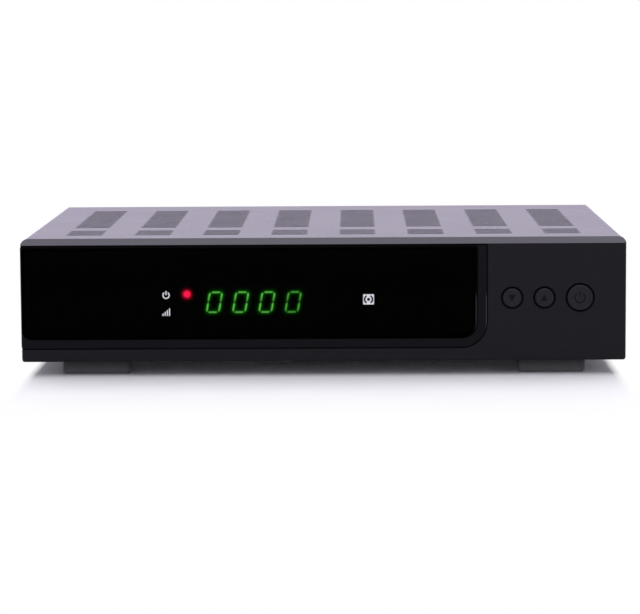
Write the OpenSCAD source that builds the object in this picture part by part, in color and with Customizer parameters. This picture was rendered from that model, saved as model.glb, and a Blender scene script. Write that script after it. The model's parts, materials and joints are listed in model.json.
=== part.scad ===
// Cable television receiver: a steel tray and cover, a moulded front panel with a display window and
// three sprung push buttons, three circuit boards and the rear connectors.
// Millimetres, +Z up, front towards -Y, origin on the floor under the middle of the whole object.

/* [Case] */
// Width of the front panel
case_w = 220; // [205:1:250]
// Depth from the face of the front panel to the back of the cover
case_d = 155; // [145:1:190]
// Height from the underside of the tray to the top of the cover
case_h = 44; // [42:0.5:54]
// Thickness of the steel sheet
sheet_t = 0.8; // [0.6:0.1:1.2]
// Inside radius of the sheet's bends
bend_in = 0.6; // [0.3:0.1:1.5]
// Clearance between pieces that slot into each other
fit_gap = 0.2; // [0.1:0.05:0.3]
// Height of the flange that the cover folds down over the rear wall
cover_flange = 9; // [7.5:0.5:10]
// Height of the tray's side flanges
tray_flange = 14; // [12:0.5:18]

/* [Vents] */
// Columns of slots in the cover
vent_cols = 8; // [4:2:8]
// Spacing of the columns
vent_col_pitch = 25.2; // [20:0.1:26]
// Length of one slot
slot_len = 13.6; // [8:0.1:16]
// Width of one slot
slot_w = 2.2; // [1.5:0.1:3]
// Spacing of the slots in a column
slot_pitch = 4.4; // [3.6:0.1:4.5]
// Slots of each column in the front group
front_slots = 5; // [3:1:6]
// Distance from the panel's face to the front group
front_slots_y = 16.3; // [12:0.1:18]
// Slots of each column in the rear group
rear_slots = 19; // [8:1:19]
// Distance from the panel's face to the rear group
rear_slots_y = 49.3; // [46:0.1:52]
// Slots of each column in the floor of the tray
floor_slots = 7; // [3:1:8]

/* [Feet] */
// Height of the feet
foot_h = 6.4; // [4:0.1:10]
// Width of a foot
foot_w = 24.5; // [16:0.5:28]
// Depth of a foot
foot_d = 14; // [10:0.5:18]
// Corner radius of a foot
foot_r = 1.5; // [1:0.5:4]
// Distance of each foot's middle from the side of the case
foot_in_x = 26.4; // [20:0.1:32]
// Distance of each foot's middle from the front or the back of the case
foot_in_y = 15; // [13:0.5:20]
// Radius of the foot's peg
peg_r = 3; // [2:0.1:4]

/* [Front panel] */
// Thickness of the panel's front wall
panel_wall = 2.6; // [2.2:0.1:3.4]
// How far the panel stands out past the cover at each side
panel_overhang = 1; // [0.5:0.1:2]
// How far the panel hangs below the tray
panel_skirt = 0.9; // [0.2:0.1:1.5]
// Bevel along the panel's top edge
panel_bevel = 2.2; // [1:0.1:2.2]
// Radius of the panel's top corners, seen from the front
panel_top_r = 2.5; // [1:0.1:4]
// Radius of the panel's bottom corners, seen from the front
panel_low_r = 1.2; // [0.5:0.1:2]
// Radius of the panel's lower front edge
panel_under_r = 0.6; // [0.5:0.1:2]
// Radius of the panel's upright front edges
panel_edge_r = 1; // [0.4:0.1:1.4]
// Depth of the lip that slides inside the tray and the cover
lip_d = 11.4; // [9:0.2:13]
// Thickness of the lip
lip_t = 1.8; // [1.2:0.1:2.4]

/* [Display window] */
// Height of the window
window_h = 33.85; // [28:0.05:34]
// Thickness of the window
window_t = 2; // [1.7:0.1:2.2]
// Radius of the window's lower right corner
window_big_r = 5.9; // [2:0.1:8]
// Radius of the window's lower left corner
window_low_r = 3.5; // [1.5:0.1:6]
// Radius of the window's upper corners
window_top_r = 1.3; // [1:0.1:3]
// How far the window stands out from its bezel
window_proud = 0.8; // [0.4:0.1:1.1]
// Width of the bezel below and to the right of the window
bezel_wide = 3.3; // [2.5:0.1:4]
// Width of the bezel above and to the left of the window
bezel_thin = 0.4; // [0.4:0.1:1]
// How far the bezel stands out from the panel
bezel_proud = 0.5; // [0.2:0.1:0.8]
// Depth of the pocket that holds the bezel
pocket_d = 1.5; // [1.2:0.1:1.6]
// Width of the groove between the bezel and the panel
groove_w = 0.45; // [0.2:0.05:0.8]

/* [Buttons] */
// Distance of the power button from the right side of the panel
power_in_x = 16.7; // [14:0.1:20]
// Spacing of the power button and the upper channel button
power_pitch = 12.95; // [12:0.05:16]
// Spacing of the two channel buttons
channel_pitch = 11.7; // [11:0.1:13]
// Distance from the bezel to the middle of the lower channel button
channel_in_x = 9.25; // [8:0.05:16]
// Radius of the power button
power_r = 4.7; // [4:0.1:5]
// Radius of a channel button
channel_r = 3.5; // [3:0.1:4]
// Clearance round a button
button_gap = 0.3; // [0.2:0.05:0.4]
// How far a button stands out from the panel
button_proud = 0.6; // [0.3:0.1:1.2]
// Travel of a button
button_travel = 0.35; // [0.2:0.05:0.5]

/* [Display] */
// Digits of the display
digits = 4; // [3:1:4]
// Spacing of the digits
digit_pitch = 9.58; // [9:0.02:10]
// Height of a digit
digit_h = 8.2; // [6:0.1:9]
// Width of a digit
digit_w = 5.4; // [4.5:0.1:5.6]
// Width of a digit's strokes
digit_stroke = 0.9; // [0.6:0.05:1.1]
// Lean of the digits in degrees
digit_lean = 10; // [0:1:12]
// Distance of the display's middle from the left side of the panel
display_in_x = 84.7; // [80:0.1:90]
// Depth of the display module
display_d = 8; // [7:0.1:10]
// Distance of the lamps from the left side of the panel
lamp_in_x = 60.4; // [56:0.1:62]
// Spacing of the two lamps
lamp_pitch = 6.2; // [5:0.1:8]
// Radius of a lamp
lamp_r = 1.5; // [1:0.1:1.6]
// Distance of the remote sensor from the left side of the panel
sensor_in_x = 126.5; // [118:0.5:140]

/* [Boards] */
// Thickness of the circuit boards
pcb_t = 1.6; // [1:0.1:2]
// Height of the standoffs under the boards
standoff_h = 5; // [4:0.5:7]
// Depth of the main board
main_d = 95; // [90:1:98]
// Width of the power board
supply_w = 58; // [56:0.5:62]
// Depth of the power board
supply_d = 110; // [104:1:112]
// Distance of the boards' sides from the tray's flanges
board_in_x = 3.2; // [2:0.1:5]
// Space between the power board and the main board
boards_gap = 5.6; // [3:0.1:7]
// Height of the front board
front_board_h = 29; // [28:0.5:31]

/* [Rear connectors] */
// How far the aerial sockets reach past the rear wall
rf_reach = 9.5; // [8:0.1:12]
// Height of the aerial sockets above the board
rf_z = 9; // [8:0.1:11]
// Spacing of the two aerial sockets
rf_pitch = 18; // [15:0.5:20]
// Outer radius of the aerial output's barrel
rf_plug_r = 4.76; // [4.5:0.02:5]
// Outer radius of the aerial input's barrel
rf_socket_r = 5.7; // [5.5:0.1:6]
// Outer radius of the digital audio socket's ring
spdif_r = 4.15; // [4:0.05:4.4]
// Height of the digital audio socket above the board
spdif_z = 8.5; // [8:0.1:11]
// Width of the mains inlet
inlet_w = 24; // [22:0.5:27]
// Height of the mains inlet
inlet_h = 16; // [14:0.5:20]
// Clearance of the connectors in the rear wall
cut_gap = 0.4; // [0.2:0.05:0.6]

/* [Hidden] */
$fn = 48;
// Overshoot of a cut past the face that it opens
cut = 1;

// Depths along Y
window_front = bezel_proud + window_proud;
overall_d = window_front + case_d - sheet_t - fit_gap + rf_reach;
face_y = window_front - overall_d / 2;
rear_y = face_y + case_d;
wall_out = rear_y - sheet_t - fit_gap;
wall_in = wall_out - sheet_t;
panel_back = face_y + panel_wall;
pocket_y = face_y + pocket_d;
cover_front = panel_back + fit_gap;

// Heights
tray_z = foot_h;
tray_top = tray_z + sheet_t;
cover_top = tray_z + case_h;
cover_under = cover_top - sheet_t;
panel_z = tray_z - panel_skirt;
panel_mid = (panel_z + cover_top) / 2;
pcb_top = tray_top + standoff_h + pcb_t;

// Half widths
panel_x = case_w / 2;
cover_x = panel_x - panel_overhang;
tray_x = cover_x - sheet_t - fit_gap;
lip_x = tray_x - sheet_t - fit_gap;
bend_r = bend_in + sheet_t;

// Buttons, placed from the right side of the panel
power_x = panel_x - power_in_x;
channel_up_x = power_x - power_pitch;
channel_down_x = channel_up_x - channel_pitch;

// Window and bezel outlines on the panel's face; the window takes the width that the buttons leave
bezel_sliver = 0.2;
bezel_x0 = -panel_x;
bezel_x1 = channel_down_x - channel_in_x;
bezel_z1 = cover_top - panel_bevel - bezel_sliver;
bezel_z0 = bezel_z1 - bezel_thin - window_h - bezel_wide;
window_x0 = bezel_x0 + bezel_thin;
window_x1 = bezel_x1 - bezel_wide;
window_z1 = bezel_z1 - bezel_thin;
window_z0 = window_z1 - window_h;
window_play = 0.1;
window_seat = 1.4;
window_back = face_y - window_front + window_t;
bezel_edge = 0.35;
bezel_left_r = 0.8;
bezel_big_r = window_big_r + bezel_wide;

// Lip, hooks and gussets at the back of the panel
lip_z0 = tray_top + fit_gap;
lip_z1 = cover_under - fit_gap;
hook_w = 10;
hook_d = 2.4;
hook_pitch = 45;
hook_in = 3;
hook_y = panel_back + hook_in;
gusset = 5;
gusset_t = 1.2;
gusset_pitch = 30;
weld = 0.4;

// Barbed pegs of the feet
barb = 0.5;
barb_h = 1.6;
peg_clear = 0.5;

// Buttons, a little above the panel's middle, and their switches
button_rise = 0.4;
button_z = panel_mid + button_rise;
button_edge = 0.6;
button_mouth = 0.4;
collar_d = 1;
collar_t = 1.1;
collar_gap = 0.2;
flange_t = 1;
flange_over = 1;
stem_r = 2;
switch_w = 6;
switch_h = 3.5;
switch_corner = 0.6;
switch_leg = [0.7, 0.3, 2.2];
plunger_r = 1.75;
plunger_play = 0.3;
plunger_in = 0.9;
plunger_floor = 0.3;
plunger_out = 1.5;

// Front board
board_corner = 1;
display_gap = 0.3;
board_y = panel_back + display_gap + display_d;
board_back = board_y + pcb_t;
board_z0 = panel_mid - front_board_h / 2;
lamp_x = lamp_in_x - panel_x;
sensor_x = sensor_in_x - panel_x;
display_x = display_in_x - panel_x;
// The digits sit a little below the panel's middle
display_drop = 1.05;
display_z = panel_mid - display_drop;
board_past_lamp = 13;
board_past_power = 10;
board_x0 = lamp_x - board_past_lamp;
board_x1 = power_x + board_past_power;
boss_in = 4.5;
boss_r = 3;
boss_floor = 1;
boss_holes = [
    for (x = [board_x0 + boss_in, board_x1 - boss_in])
        for (z = [boss_in, front_board_h - boss_in]) [x, board_z0 + z]
];
display_margin = 1.1;
display_margin_z = 2.3;
display_w = digits * digit_pitch + 2 * display_margin;
display_h = digit_h + 2 * display_margin_z;
segment_t = 0.5;
flat_gap = 0.6;
upright_gap = 0.1;
lamp_play = 0.25;
lamp_len = 3.8;
lamp_rim = 0.4;
lamp_rim_t = 1;
lead_w = 0.5;
lead_pitch = 2.54;
lamp_back = 0.1;
lamp_tip = pocket_y + lamp_back;
shroud_t = 1;
shroud_d = 3;
lamp_shroud_d = 2;
sensor_hole_r = 3.4;
sensor_dome_r = 2.4;
sensor_body = [7, 4, 6];

// Screws
screw_r = 1.45;
screw_bore_r = 1.5;
screw_hole_r = 1.7;
screw_head_r = 2.75;
screw_head_h = 1.8;
screw_head_in = 0.5;
screw_len = 5;
cross_w = 0.7;
cross_len = 3.2;
cross_d = 1;
side_screw_up = 8;
side_screw_z = tray_z + side_screw_up;
side_screw_in = 24;
flange_screw_drop = 5.2;
flange_screw_z = cover_top - flange_screw_drop;
flange_screw_pitch = 92;

// Main board and power board
main_x1 = tray_x - sheet_t - board_in_x;
supply_x0 = -main_x1;
supply_x1 = supply_x0 + supply_w;
main_x0 = supply_x1 + boards_gap;
main_mid = (main_x0 + main_x1) / 2;
board_gap = 0.5;
board_rear = wall_in - board_gap;
main_y0 = board_rear - main_d;
supply_y0 = board_rear - supply_d;
post_in = 5;
// The main board's rear posts stand in front of the connectors
post_back = 29;
post_r = 3;
main_posts = [
    for (x = [main_x0 + post_in, main_mid, main_x1 - post_in])
        for (y = [main_y0 + post_in, board_rear - post_back]) [x, y]
];
supply_posts = [
    for (x = [supply_x0 + post_in, supply_x1 - post_in])
        for (y = [supply_y0 + post_in, board_rear - post_in]) [x, y]
];

// Rear connectors
can_margin = 10;
can_w = rf_pitch + 2 * can_margin;
can_d = 24;
can_h = 17;
can_wall = 0.5;
rf_wall = 0.9;
rf_collar_r = 5.7;
rf_collar_out = 1;
rf_fill = 3;
rf_pin_r = 1.2;
rf_sleeve_r = 1.8;
rf_pin_back = 1;
hdmi_w = 15;
hdmi_h = 5.9;
hdmi_d = 12;
hdmi_corner = 1.7;
hdmi_out = 0.8;
shell_t = 0.4;
usb_w = 13.2;
usb_h = 5.9;
usb_d = 14;
insert_back = 2.5;
insert_play = 0.05;
tongue_back = 1.2;
scart_w = 48;
scart_h = 15;
scart_d = 20;
scart_out = 1;
scart_groove = 1.7;
scart_depth = 9;
scart_pins = 10;
scart_pin_pitch = 3.81;
scart_pin = [1, 3.2];
scart_row = 2.1;
scart_stagger = 0.95;
scart_rim = 1.6;
scart_slant = 2.5;
spdif_reach = 9;
spdif_block = [11, 11, 14];
spdif_ring_t = 0.6;
spdif_collar_t = 0.7;
spdif_collar_r = spdif_r + spdif_collar_t;
spdif_collar_out = 0.5;
spdif_core_back = 0.6;
spdif_hole_r = 1.65;
inlet_d = 18;
inlet_out = 0.8;
inlet_cavity_r = 4.1;
inlet_cavity_x = 3.4;
inlet_depth = 13;
inlet_pin_x = 4.3;
inlet_pin_r = 1.2;
inlet_pin_len = 9.5;

// Places of the connectors: with equal gaps along the main board's rear edge, from the right, and the
// inlet from the power board's left end
connector_gap = (main_x1 - main_x0 - can_w - spdif_block[0] - hdmi_w - usb_w - scart_w) / 6;
can_x0 = main_x1 - connector_gap - can_w;
rf_out_x = can_x0 + can_margin;
rf_in_x = rf_out_x + rf_pitch;
spdif_x = can_x0 - connector_gap - spdif_block[0] / 2;
hdmi_x = spdif_x - spdif_block[0] / 2 - connector_gap - hdmi_w / 2;
usb_x = hdmi_x - hdmi_w / 2 - connector_gap - usb_w / 2;
scart_x = usb_x - usb_w / 2 - connector_gap - scart_w / 2;
inlet_in_x = 22;
inlet_x = supply_x0 + inlet_in_x;
rf_axis = pcb_top + rf_z;
spdif_axis = pcb_top + spdif_z;
inlet_axis = pcb_top + inlet_h / 2;

// Cables between the boards
// Steps from the main board's middle post and front edge
ribbon_step = 12;
ribbon_in_y = 9;
ribbon_up = 2;
ribbon_x = main_mid + ribbon_step;
ribbon_w = 12;
ribbon_t = 0.9;
ribbon_bend = 6;
ribbon_z = panel_mid + ribbon_up;
ribbon_y = main_y0 + ribbon_in_y;
socket_size = [16, 6, 8];
harness_in_x = 5;
harness_in_y = 76;
harness_y = board_rear - harness_in_y;
harness_x0 = supply_x1 - harness_in_x;
harness_x1 = main_x0 + harness_in_x;
harness_wires = 5;
harness_pitch = 2.2;
wire_r = 0.8;
harness_socket = [6, 13, 8];

// Parts on the boards: [X, Y] from a board's left and rear edges unless said otherwise
chip_size = [27, 27, 2.2];
chip_legs = 20;
chip_leg = [0.5, 1.2, 0.4];
chip_in = [60, 53];
chip_at = [main_x0 + chip_in[0], board_rear - chip_in[1]];
sink_size = [30, 30, 13];
sink_base = 2.4;
sink_fins = 8;
fin_t = 1.3;
memory_size = [18, 9, 1.2];
memory_legs = 12;
// Steps from the main chip to the memory chips
memory_step = [32, 9];
driver_size = [18, 7.5, 2.3];
driver_legs = 10;
small_cap = [3.2, 11];
small_caps = 5;
// From the main board's middle post and rear edge
small_cap_in = [8, 33];
small_cap_step = 11;
bulk_cap = [8, 26];
// From the power board's right and rear edges
bulk_cap_in = [20, 50];
output_cap = [5, 20];
output_caps = 3;
// From the power board's left and front edges
output_cap_in = [16, 12];
output_cap_step = 13;
choke_in = [17, 28];
choke_core = [22, 14, 16];
choke_limb = 4;
choke_coil_r = 5;
transformer_in = [18, 66];
transformer_core = [24, 10, 22];
transformer_coil = [17, 22, 18];
// From the power board's right and rear edges
fuse_in = [12, 9];
fuse_r = 2.5;
fuse_len = 20;
fuse_cap_t = 0.2;
fuse_cap_len = 5;
fuse_up = 4.4;
clip_t = 0.3;
clip_in = 0.6;
clip_drop = 1.2;

// Prism of a front-view outline (X, Z), from y_back towards the front
module front_prism(y_back, depth) {
    translate([0, y_back, 0])
        rotate([90, 0, 0])
            linear_extrude(depth)
                children();
}

// Prism of a side-view outline (Y, Z), from x0 to the right
module side_prism(x0, width) {
    translate([x0, 0, 0])
        rotate([90, 0, 90])
            linear_extrude(width)
                children();
}

// Round bar along Y, from y_back towards the front
module bar_y(x, z, y_back, depth, r) {
    translate([x, y_back, z])
        rotate([90, 0, 0])
            cylinder(h = depth, r = r);
}

// Takes the sharp corner off an outline whose solid lies towards (sx, sy)
module round_cut(x, y, sx, sy, r) {
    if (r > 0)
        translate([x, y])
            difference() {
                translate([sx > 0 ? -cut : -r, sy > 0 ? -cut : -r])
                    square(r + cut);
                translate([sx * r, sy * r])
                    circle(r);
            }
}

// Rectangle with its own radius at each corner: lower left, lower right, upper right, upper left
module corner_rect(x0, y0, x1, y1, r) {
    difference() {
        translate([x0, y0])
            square([x1 - x0, y1 - y0]);
        round_cut(x0, y0, 1, 1, r[0]);
        round_cut(x1, y0, -1, 1, r[1]);
        round_cut(x1, y1, -1, -1, r[2]);
        round_cut(x0, y1, 1, -1, r[3]);
    }
}

// Slot with round ends, length along X
module slot_outline(len, width) {
    square([len - width, width], center = true);
    for (side = [-1, 1])
        translate([side * (len - width) / 2, 0])
            circle(d = width);
}

// Disc whose upper edge is rounded by edge
module soft_disc(r, h, edge) {
    steps = 6;
    arc = [for (i = [0 : steps]) [r - edge, h - edge] + edge * [cos(90 * i / steps), sin(90 * i / steps)]];
    rotate_extrude($fn = 32)
        polygon(concat([[0, 0], [r, 0]], arc, [[0, h]]));
}

// Plate facing the front, with a radius at each corner and a rounded front edge
module soft_plate(x0, z0, x1, z1, r, y_back, depth, edge) {
    corners = [
        [x0 + r[0], z0 + r[0]], [x1 - r[1], z0 + r[1]],
        [x1 - r[2], z1 - r[2]], [x0 + r[3], z1 - r[3]]
    ];
    hull()
        for (i = [0 : 3])
            translate([corners[i][0], y_back, corners[i][1]])
                rotate([90, 0, 0])
                    soft_disc(r[i], depth, edge);
}

// Pan-head screw, head up, its seat at the origin
module screw(len) {
    difference() {
        union() {
            cylinder(h = screw_head_h, r1 = screw_head_r, r2 = screw_head_r - screw_head_in);
            translate([0, 0, -len])
                cylinder(h = len, r = screw_r);
        }
        translate([0, 0, screw_head_h])
            for (turn = [0, 90])
                rotate(turn)
                    cube([cross_len, cross_w, 2 * cross_d], center = true);
    }
}

// Column centres of the vents, the same distance apart on both sides of the middle
function vent_x(i, n) = (i - (n - 1) / 2) * vent_col_pitch;

// Block of vent slots cut upwards from z
module vents(n_cols, n_slots, y0, z, depth) {
    for (i = [0 : n_cols - 1])
        for (k = [0 : n_slots - 1])
            translate([vent_x(i, n_cols), y0 + slot_w / 2 + k * slot_pitch, z])
                linear_extrude(depth)
                    slot_outline(slot_len, slot_w);
}

// Front panel: wall, lip, button bores with collars, lamp and display shrouds, screw bosses, hooks
module panel_wall_solid() {
    intersection() {
        front_prism(panel_back, panel_wall)
            corner_rect(-panel_x, panel_z, panel_x, cover_top,
                [panel_low_r, panel_low_r, panel_top_r, panel_top_r]);
        translate([0, 0, panel_z])
            linear_extrude(case_h + panel_skirt)
                corner_rect(-panel_x, face_y, panel_x, panel_back, [panel_edge_r, panel_edge_r, 0, 0]);
        side_prism(-panel_x, case_w)
            difference() {
                polygon([
                    [face_y, panel_z], [panel_back, panel_z], [panel_back, cover_top],
                    [face_y + panel_bevel, cover_top], [face_y, cover_top - panel_bevel]
                ]);
                round_cut(face_y, panel_z, 1, 1, panel_under_r);
            }
    }
}

module panel_lip() {
    front_prism(panel_back + lip_d, lip_d)
        difference() {
            corner_rect(-lip_x, lip_z0, lip_x, lip_z1, [lip_t, lip_t, lip_t, lip_t]);
            translate([-lip_x + lip_t, lip_z0 + lip_t])
                square([2 * (lip_x - lip_t), lip_z1 - lip_z0 - 2 * lip_t]);
        }
}

module panel_hooks() {
    drop = fit_gap + sheet_t;
    for (i = [-1 : 1])
        side_prism(i * hook_pitch - hook_w / 2, hook_w)
            polygon([
                [hook_y, lip_z0 + lip_t / 2], [hook_y + hook_d + drop, lip_z0 + lip_t / 2],
                [hook_y + hook_d + drop, lip_z0], [hook_y + hook_d, lip_z0 - drop], [hook_y, lip_z0 - drop]
            ]);
}

module panel_gussets() {
    for (i = [-3 : 3])
        for (end = [[lip_z0 + lip_t, 1], [lip_z1 - lip_t, -1]])
            side_prism(i * gusset_pitch - gusset_t / 2, gusset_t)
                polygon([
                    [panel_back - weld, end[0] - end[1] * lip_t / 2],
                    [panel_back + gusset, end[0] - end[1] * lip_t / 2],
                    [panel_back + gusset, end[0]],
                    [panel_back - weld, end[0] + end[1] * gusset]
                ]);
}

module front_panel() {
    color([0.13, 0.13, 0.14])
        difference() {
            union() {
                panel_wall_solid();
                panel_lip();
                panel_hooks();
                panel_gussets();
                for (hole = boss_holes)
                    bar_y(hole[0], hole[1], board_y, board_y - panel_back + weld, boss_r);
                for (b = [[channel_down_x, channel_r], [channel_up_x, channel_r], [power_x, power_r]])
                    bar_y(b[0], button_z, panel_back + collar_d, collar_d + weld,
                        b[1] + button_gap + collar_t);
                for (side = [-1, 1])
                    bar_y(lamp_x, display_z + side * lamp_pitch / 2, panel_back + lamp_shroud_d,
                        lamp_shroud_d + weld, lamp_r + lamp_play + shroud_t);
                front_prism(panel_back + shroud_d, shroud_d + weld)
                    translate([display_x, display_z])
                        square([display_w, display_h] + 2 * (display_gap + shroud_t) * [1, 1], center = true);
            }
            // Pocket for the bezel, open at the left side
            front_prism(pocket_y, pocket_d + cut)
                corner_rect(bezel_x0 - cut, bezel_z0 - groove_w, bezel_x1 + groove_w, bezel_z1 + window_play,
                    [0, bezel_big_r + groove_w, 0, 0]);
            // Window for the digits and the space for the display module
            front_prism(panel_back + shroud_d + cut, panel_wall + shroud_d + cut)
                translate([display_x, display_z])
                    square([display_w, display_h] + 2 * display_gap * [1, 1], center = true);
            for (side = [-1, 1])
                bar_y(lamp_x, display_z + side * lamp_pitch / 2, panel_back + shroud_d,
                    panel_wall + shroud_d + cut, lamp_r + lamp_play);
            bar_y(sensor_x, display_z, panel_back + cut, panel_wall + cut, sensor_hole_r);
            for (b = [[channel_down_x, channel_r], [channel_up_x, channel_r], [power_x, power_r]]) {
                bar_y(b[0], button_z, panel_back + collar_d + cut, panel_wall + collar_d + 2 * cut,
                    b[1] + button_gap);
                translate([b[0], face_y, button_z])
                    rotate([-90, 0, 0])
                        translate([0, 0, -cut])
                            cylinder(h = cut + button_mouth, r1 = b[1] + button_gap + button_mouth + cut,
                                r2 = b[1] + button_gap);
            }
            for (hole = boss_holes)
                bar_y(hole[0], hole[1], board_y + cut, board_y - panel_back - boss_floor + cut, screw_bore_r);
            // Notches in the lip for the front feet's pegs
            for (side = [-1, 1])
                translate([foot_x(side), foot_y(-1), lip_z0 - cut])
                    cylinder(h = lip_t + 2 * cut, r = peg_r + barb + peg_clear);
        }
}

module display_bezel() {
    color([0.09, 0.09, 0.1])
        difference() {
            soft_plate(bezel_x0, bezel_z0, bezel_x1, bezel_z1,
                [bezel_left_r, bezel_big_r, bezel_left_r, bezel_left_r],
                pocket_y, pocket_d + bezel_proud, bezel_edge);
            front_prism(window_back, window_t + cut)
                corner_rect(window_x0 - window_play, window_z0 - window_play,
                    window_x1 + window_play, window_z1 + window_play,
                    [window_low_r, window_big_r, window_top_r, window_top_r]);
            front_prism(pocket_y + cut, pocket_d + bezel_proud + 2 * cut)
                corner_rect(window_x0 + window_seat, window_z0 + window_seat,
                    window_x1 - window_seat, window_z1 - window_seat,
                    [window_low_r, window_big_r, window_top_r, window_top_r]);
        }
}

module display_window() {
    color([0.02, 0.02, 0.025])
        soft_plate(window_x0, window_z0, window_x1, window_z1,
            [window_low_r, window_big_r, window_top_r, window_top_r], window_back, window_t, window_proud);
}

// Sheet-metal cover: top, two sides and a flange folded down at the rear
module cover_block(inset, past) {
    r = bend_r - inset;
    intersection() {
        front_prism(rear_y - inset, case_d + past)
            corner_rect(-cover_x + inset, tray_z - past, cover_x - inset, cover_top - inset, [0, 0, r, r]);
        side_prism(-cover_x + inset, 2 * (cover_x - inset))
            corner_rect(cover_front - past, tray_z - past, rear_y - inset, cover_top - inset, [0, 0, r, 0]);
    }
}

module top_cover() {
    inner_x = cover_x - sheet_t;
    color([0.3, 0.3, 0.32])
        difference() {
            cover_block(0, 0);
            cover_block(sheet_t, cut);
            translate([-inner_x, wall_out, tray_z - cut])
                cube([2 * inner_x, sheet_t + fit_gap + cut, case_h - cover_flange + cut]);
            vents(vent_cols, front_slots, face_y + front_slots_y, cover_under - cut, sheet_t + 2 * cut);
            vents(vent_cols, rear_slots, face_y + rear_slots_y, cover_under - cut, sheet_t + 2 * cut);
            for (i = [-1 : 1])
                bar_y(i * flange_screw_pitch, flange_screw_z, rear_y + cut, sheet_t + 2 * cut, screw_hole_r);
            for (y = [cover_front + side_screw_in, rear_y - side_screw_in])
                translate([-cover_x - cut, y, side_screw_z])
                    rotate([0, 90, 0])
                        cylinder(h = case_w + 2 * cut, r = screw_hole_r);
        }
}

// Outline of the rear wall's cut-outs, widened by gap
module rear_cuts(gap) {
    translate([rf_in_x, rf_axis])
        circle(rf_socket_r + gap);
    translate([rf_out_x, rf_axis])
        circle(rf_collar_r + gap);
    translate([spdif_x, spdif_axis])
        circle(spdif_collar_r + gap);
    translate([hdmi_x - hdmi_w / 2 - gap, pcb_top - gap])
        square([hdmi_w, hdmi_h] + 2 * gap * [1, 1]);
    translate([usb_x - usb_w / 2 - gap, pcb_top - gap])
        square([usb_w, usb_h] + 2 * gap * [1, 1]);
    translate([scart_x - scart_w / 2 - gap, pcb_top - gap])
        square([scart_w, scart_h] + 2 * gap * [1, 1]);
    translate([inlet_x - inlet_w / 2 - gap, pcb_top - gap])
        square([inlet_w, inlet_h] + 2 * gap * [1, 1]);
}

// Middles of the four feet: [side, end] with end -1 at the front
function foot_x(side) = side * (panel_x - foot_in_x);
function foot_y(end) = end < 0 ? face_y + foot_in_y : rear_y - foot_in_y;

module bottom_tray() {
    floor_slots_in = 14;
    hook_slot = hook_d + sheet_t + 3 * fit_gap;
    color([0.62, 0.63, 0.65])
        difference() {
            union() {
                front_prism(wall_out, wall_out - cover_front)
                    difference() {
                        corner_rect(-tray_x, tray_z, tray_x, tray_z + tray_flange, [bend_r, bend_r, 0, 0]);
                        corner_rect(-tray_x + sheet_t, tray_top, tray_x - sheet_t, tray_z + tray_flange + cut,
                            [bend_in, bend_in, 0, 0]);
                    }
                front_prism(wall_out, sheet_t)
                    difference() {
                        corner_rect(-tray_x, tray_z, tray_x, cover_under - fit_gap,
                            [bend_r, bend_r, bend_r, bend_r]);
                        rear_cuts(cut_gap);
                    }
            }
            vents(vent_cols - 2, floor_slots, main_y0 + floor_slots_in, tray_z - cut, sheet_t + 2 * cut);
            for (side = [-1, 1])
                for (end = [-1, 1])
                    translate([foot_x(side), foot_y(end), tray_z - cut])
                        cylinder(h = sheet_t + 2 * cut, r = peg_r + fit_gap);
            for (i = [-1 : 1])
                translate([i * hook_pitch - hook_w / 2 - fit_gap, hook_y - fit_gap, tray_z - cut])
                    cube([hook_w + 2 * fit_gap, hook_slot, sheet_t + 2 * cut]);
            for (i = [-1 : 1])
                bar_y(i * flange_screw_pitch, flange_screw_z, wall_out + cut, sheet_t + 2 * cut,
                    screw_bore_r);
            for (y = [cover_front + side_screw_in, rear_y - side_screw_in])
                translate([-cover_x - cut, y, side_screw_z])
                    rotate([0, 90, 0])
                        cylinder(h = case_w + 2 * cut, r = screw_bore_r);
        }
}

module cover_screws() {
    color([0.25, 0.25, 0.27]) {
        for (i = [-1 : 1])
            translate([i * flange_screw_pitch, rear_y, flange_screw_z])
                rotate([-90, 0, 0])
                    screw(screw_len);
        for (y = [cover_front + side_screw_in, rear_y - side_screw_in])
            for (side = [-1, 1])
                translate([side * cover_x, y, side_screw_z])
                    rotate([0, side * 90, 0])
                        screw(screw_len);
    }
}

// Outline of a foot seen from above, drawn in by inset
module foot_outline(inset) {
    x = foot_w / 2 - inset;
    y = foot_d / 2 - inset;
    corner_rect(-x, -y, x, y, foot_r * [1, 1, 1, 1]);
}

// Push-in foot: a block with rounded corners and a slit, barbed peg through the tray
module foot(side, end) {
    slit = 1;
    pad_in = 0.4;
    pad_h = 0.6;
    color([0.1, 0.1, 0.1])
        translate([foot_x(side), foot_y(end), 0]) {
            linear_extrude(pad_h)
                foot_outline(pad_in);
            translate([0, 0, pad_h])
                linear_extrude(foot_h - pad_h)
                    foot_outline(0);
            difference() {
                union() {
                    translate([0, 0, foot_h - pad_h])
                        cylinder(h = pad_h + sheet_t + barb_h, r = peg_r);
                    translate([0, 0, tray_top + fit_gap])
                        cylinder(h = barb_h - fit_gap, r1 = peg_r + barb, r2 = peg_r);
                }
                translate([-slit / 2, -foot_d, foot_h])
                    cube([slit, 2 * foot_d, sheet_t + barb_h + cut]);
            }
        }
}

module foot_front_left() { foot(-1, -1); }
module foot_front_right() { foot(1, -1); }
module foot_rear_left() { foot(-1, 1); }
module foot_rear_right() { foot(1, 1); }

// Button: rounded cap, retaining flange behind the collar and a stem on the switch's plunger
switch_y = board_y - switch_h;
plunger_tip = switch_y - plunger_out;

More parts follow.
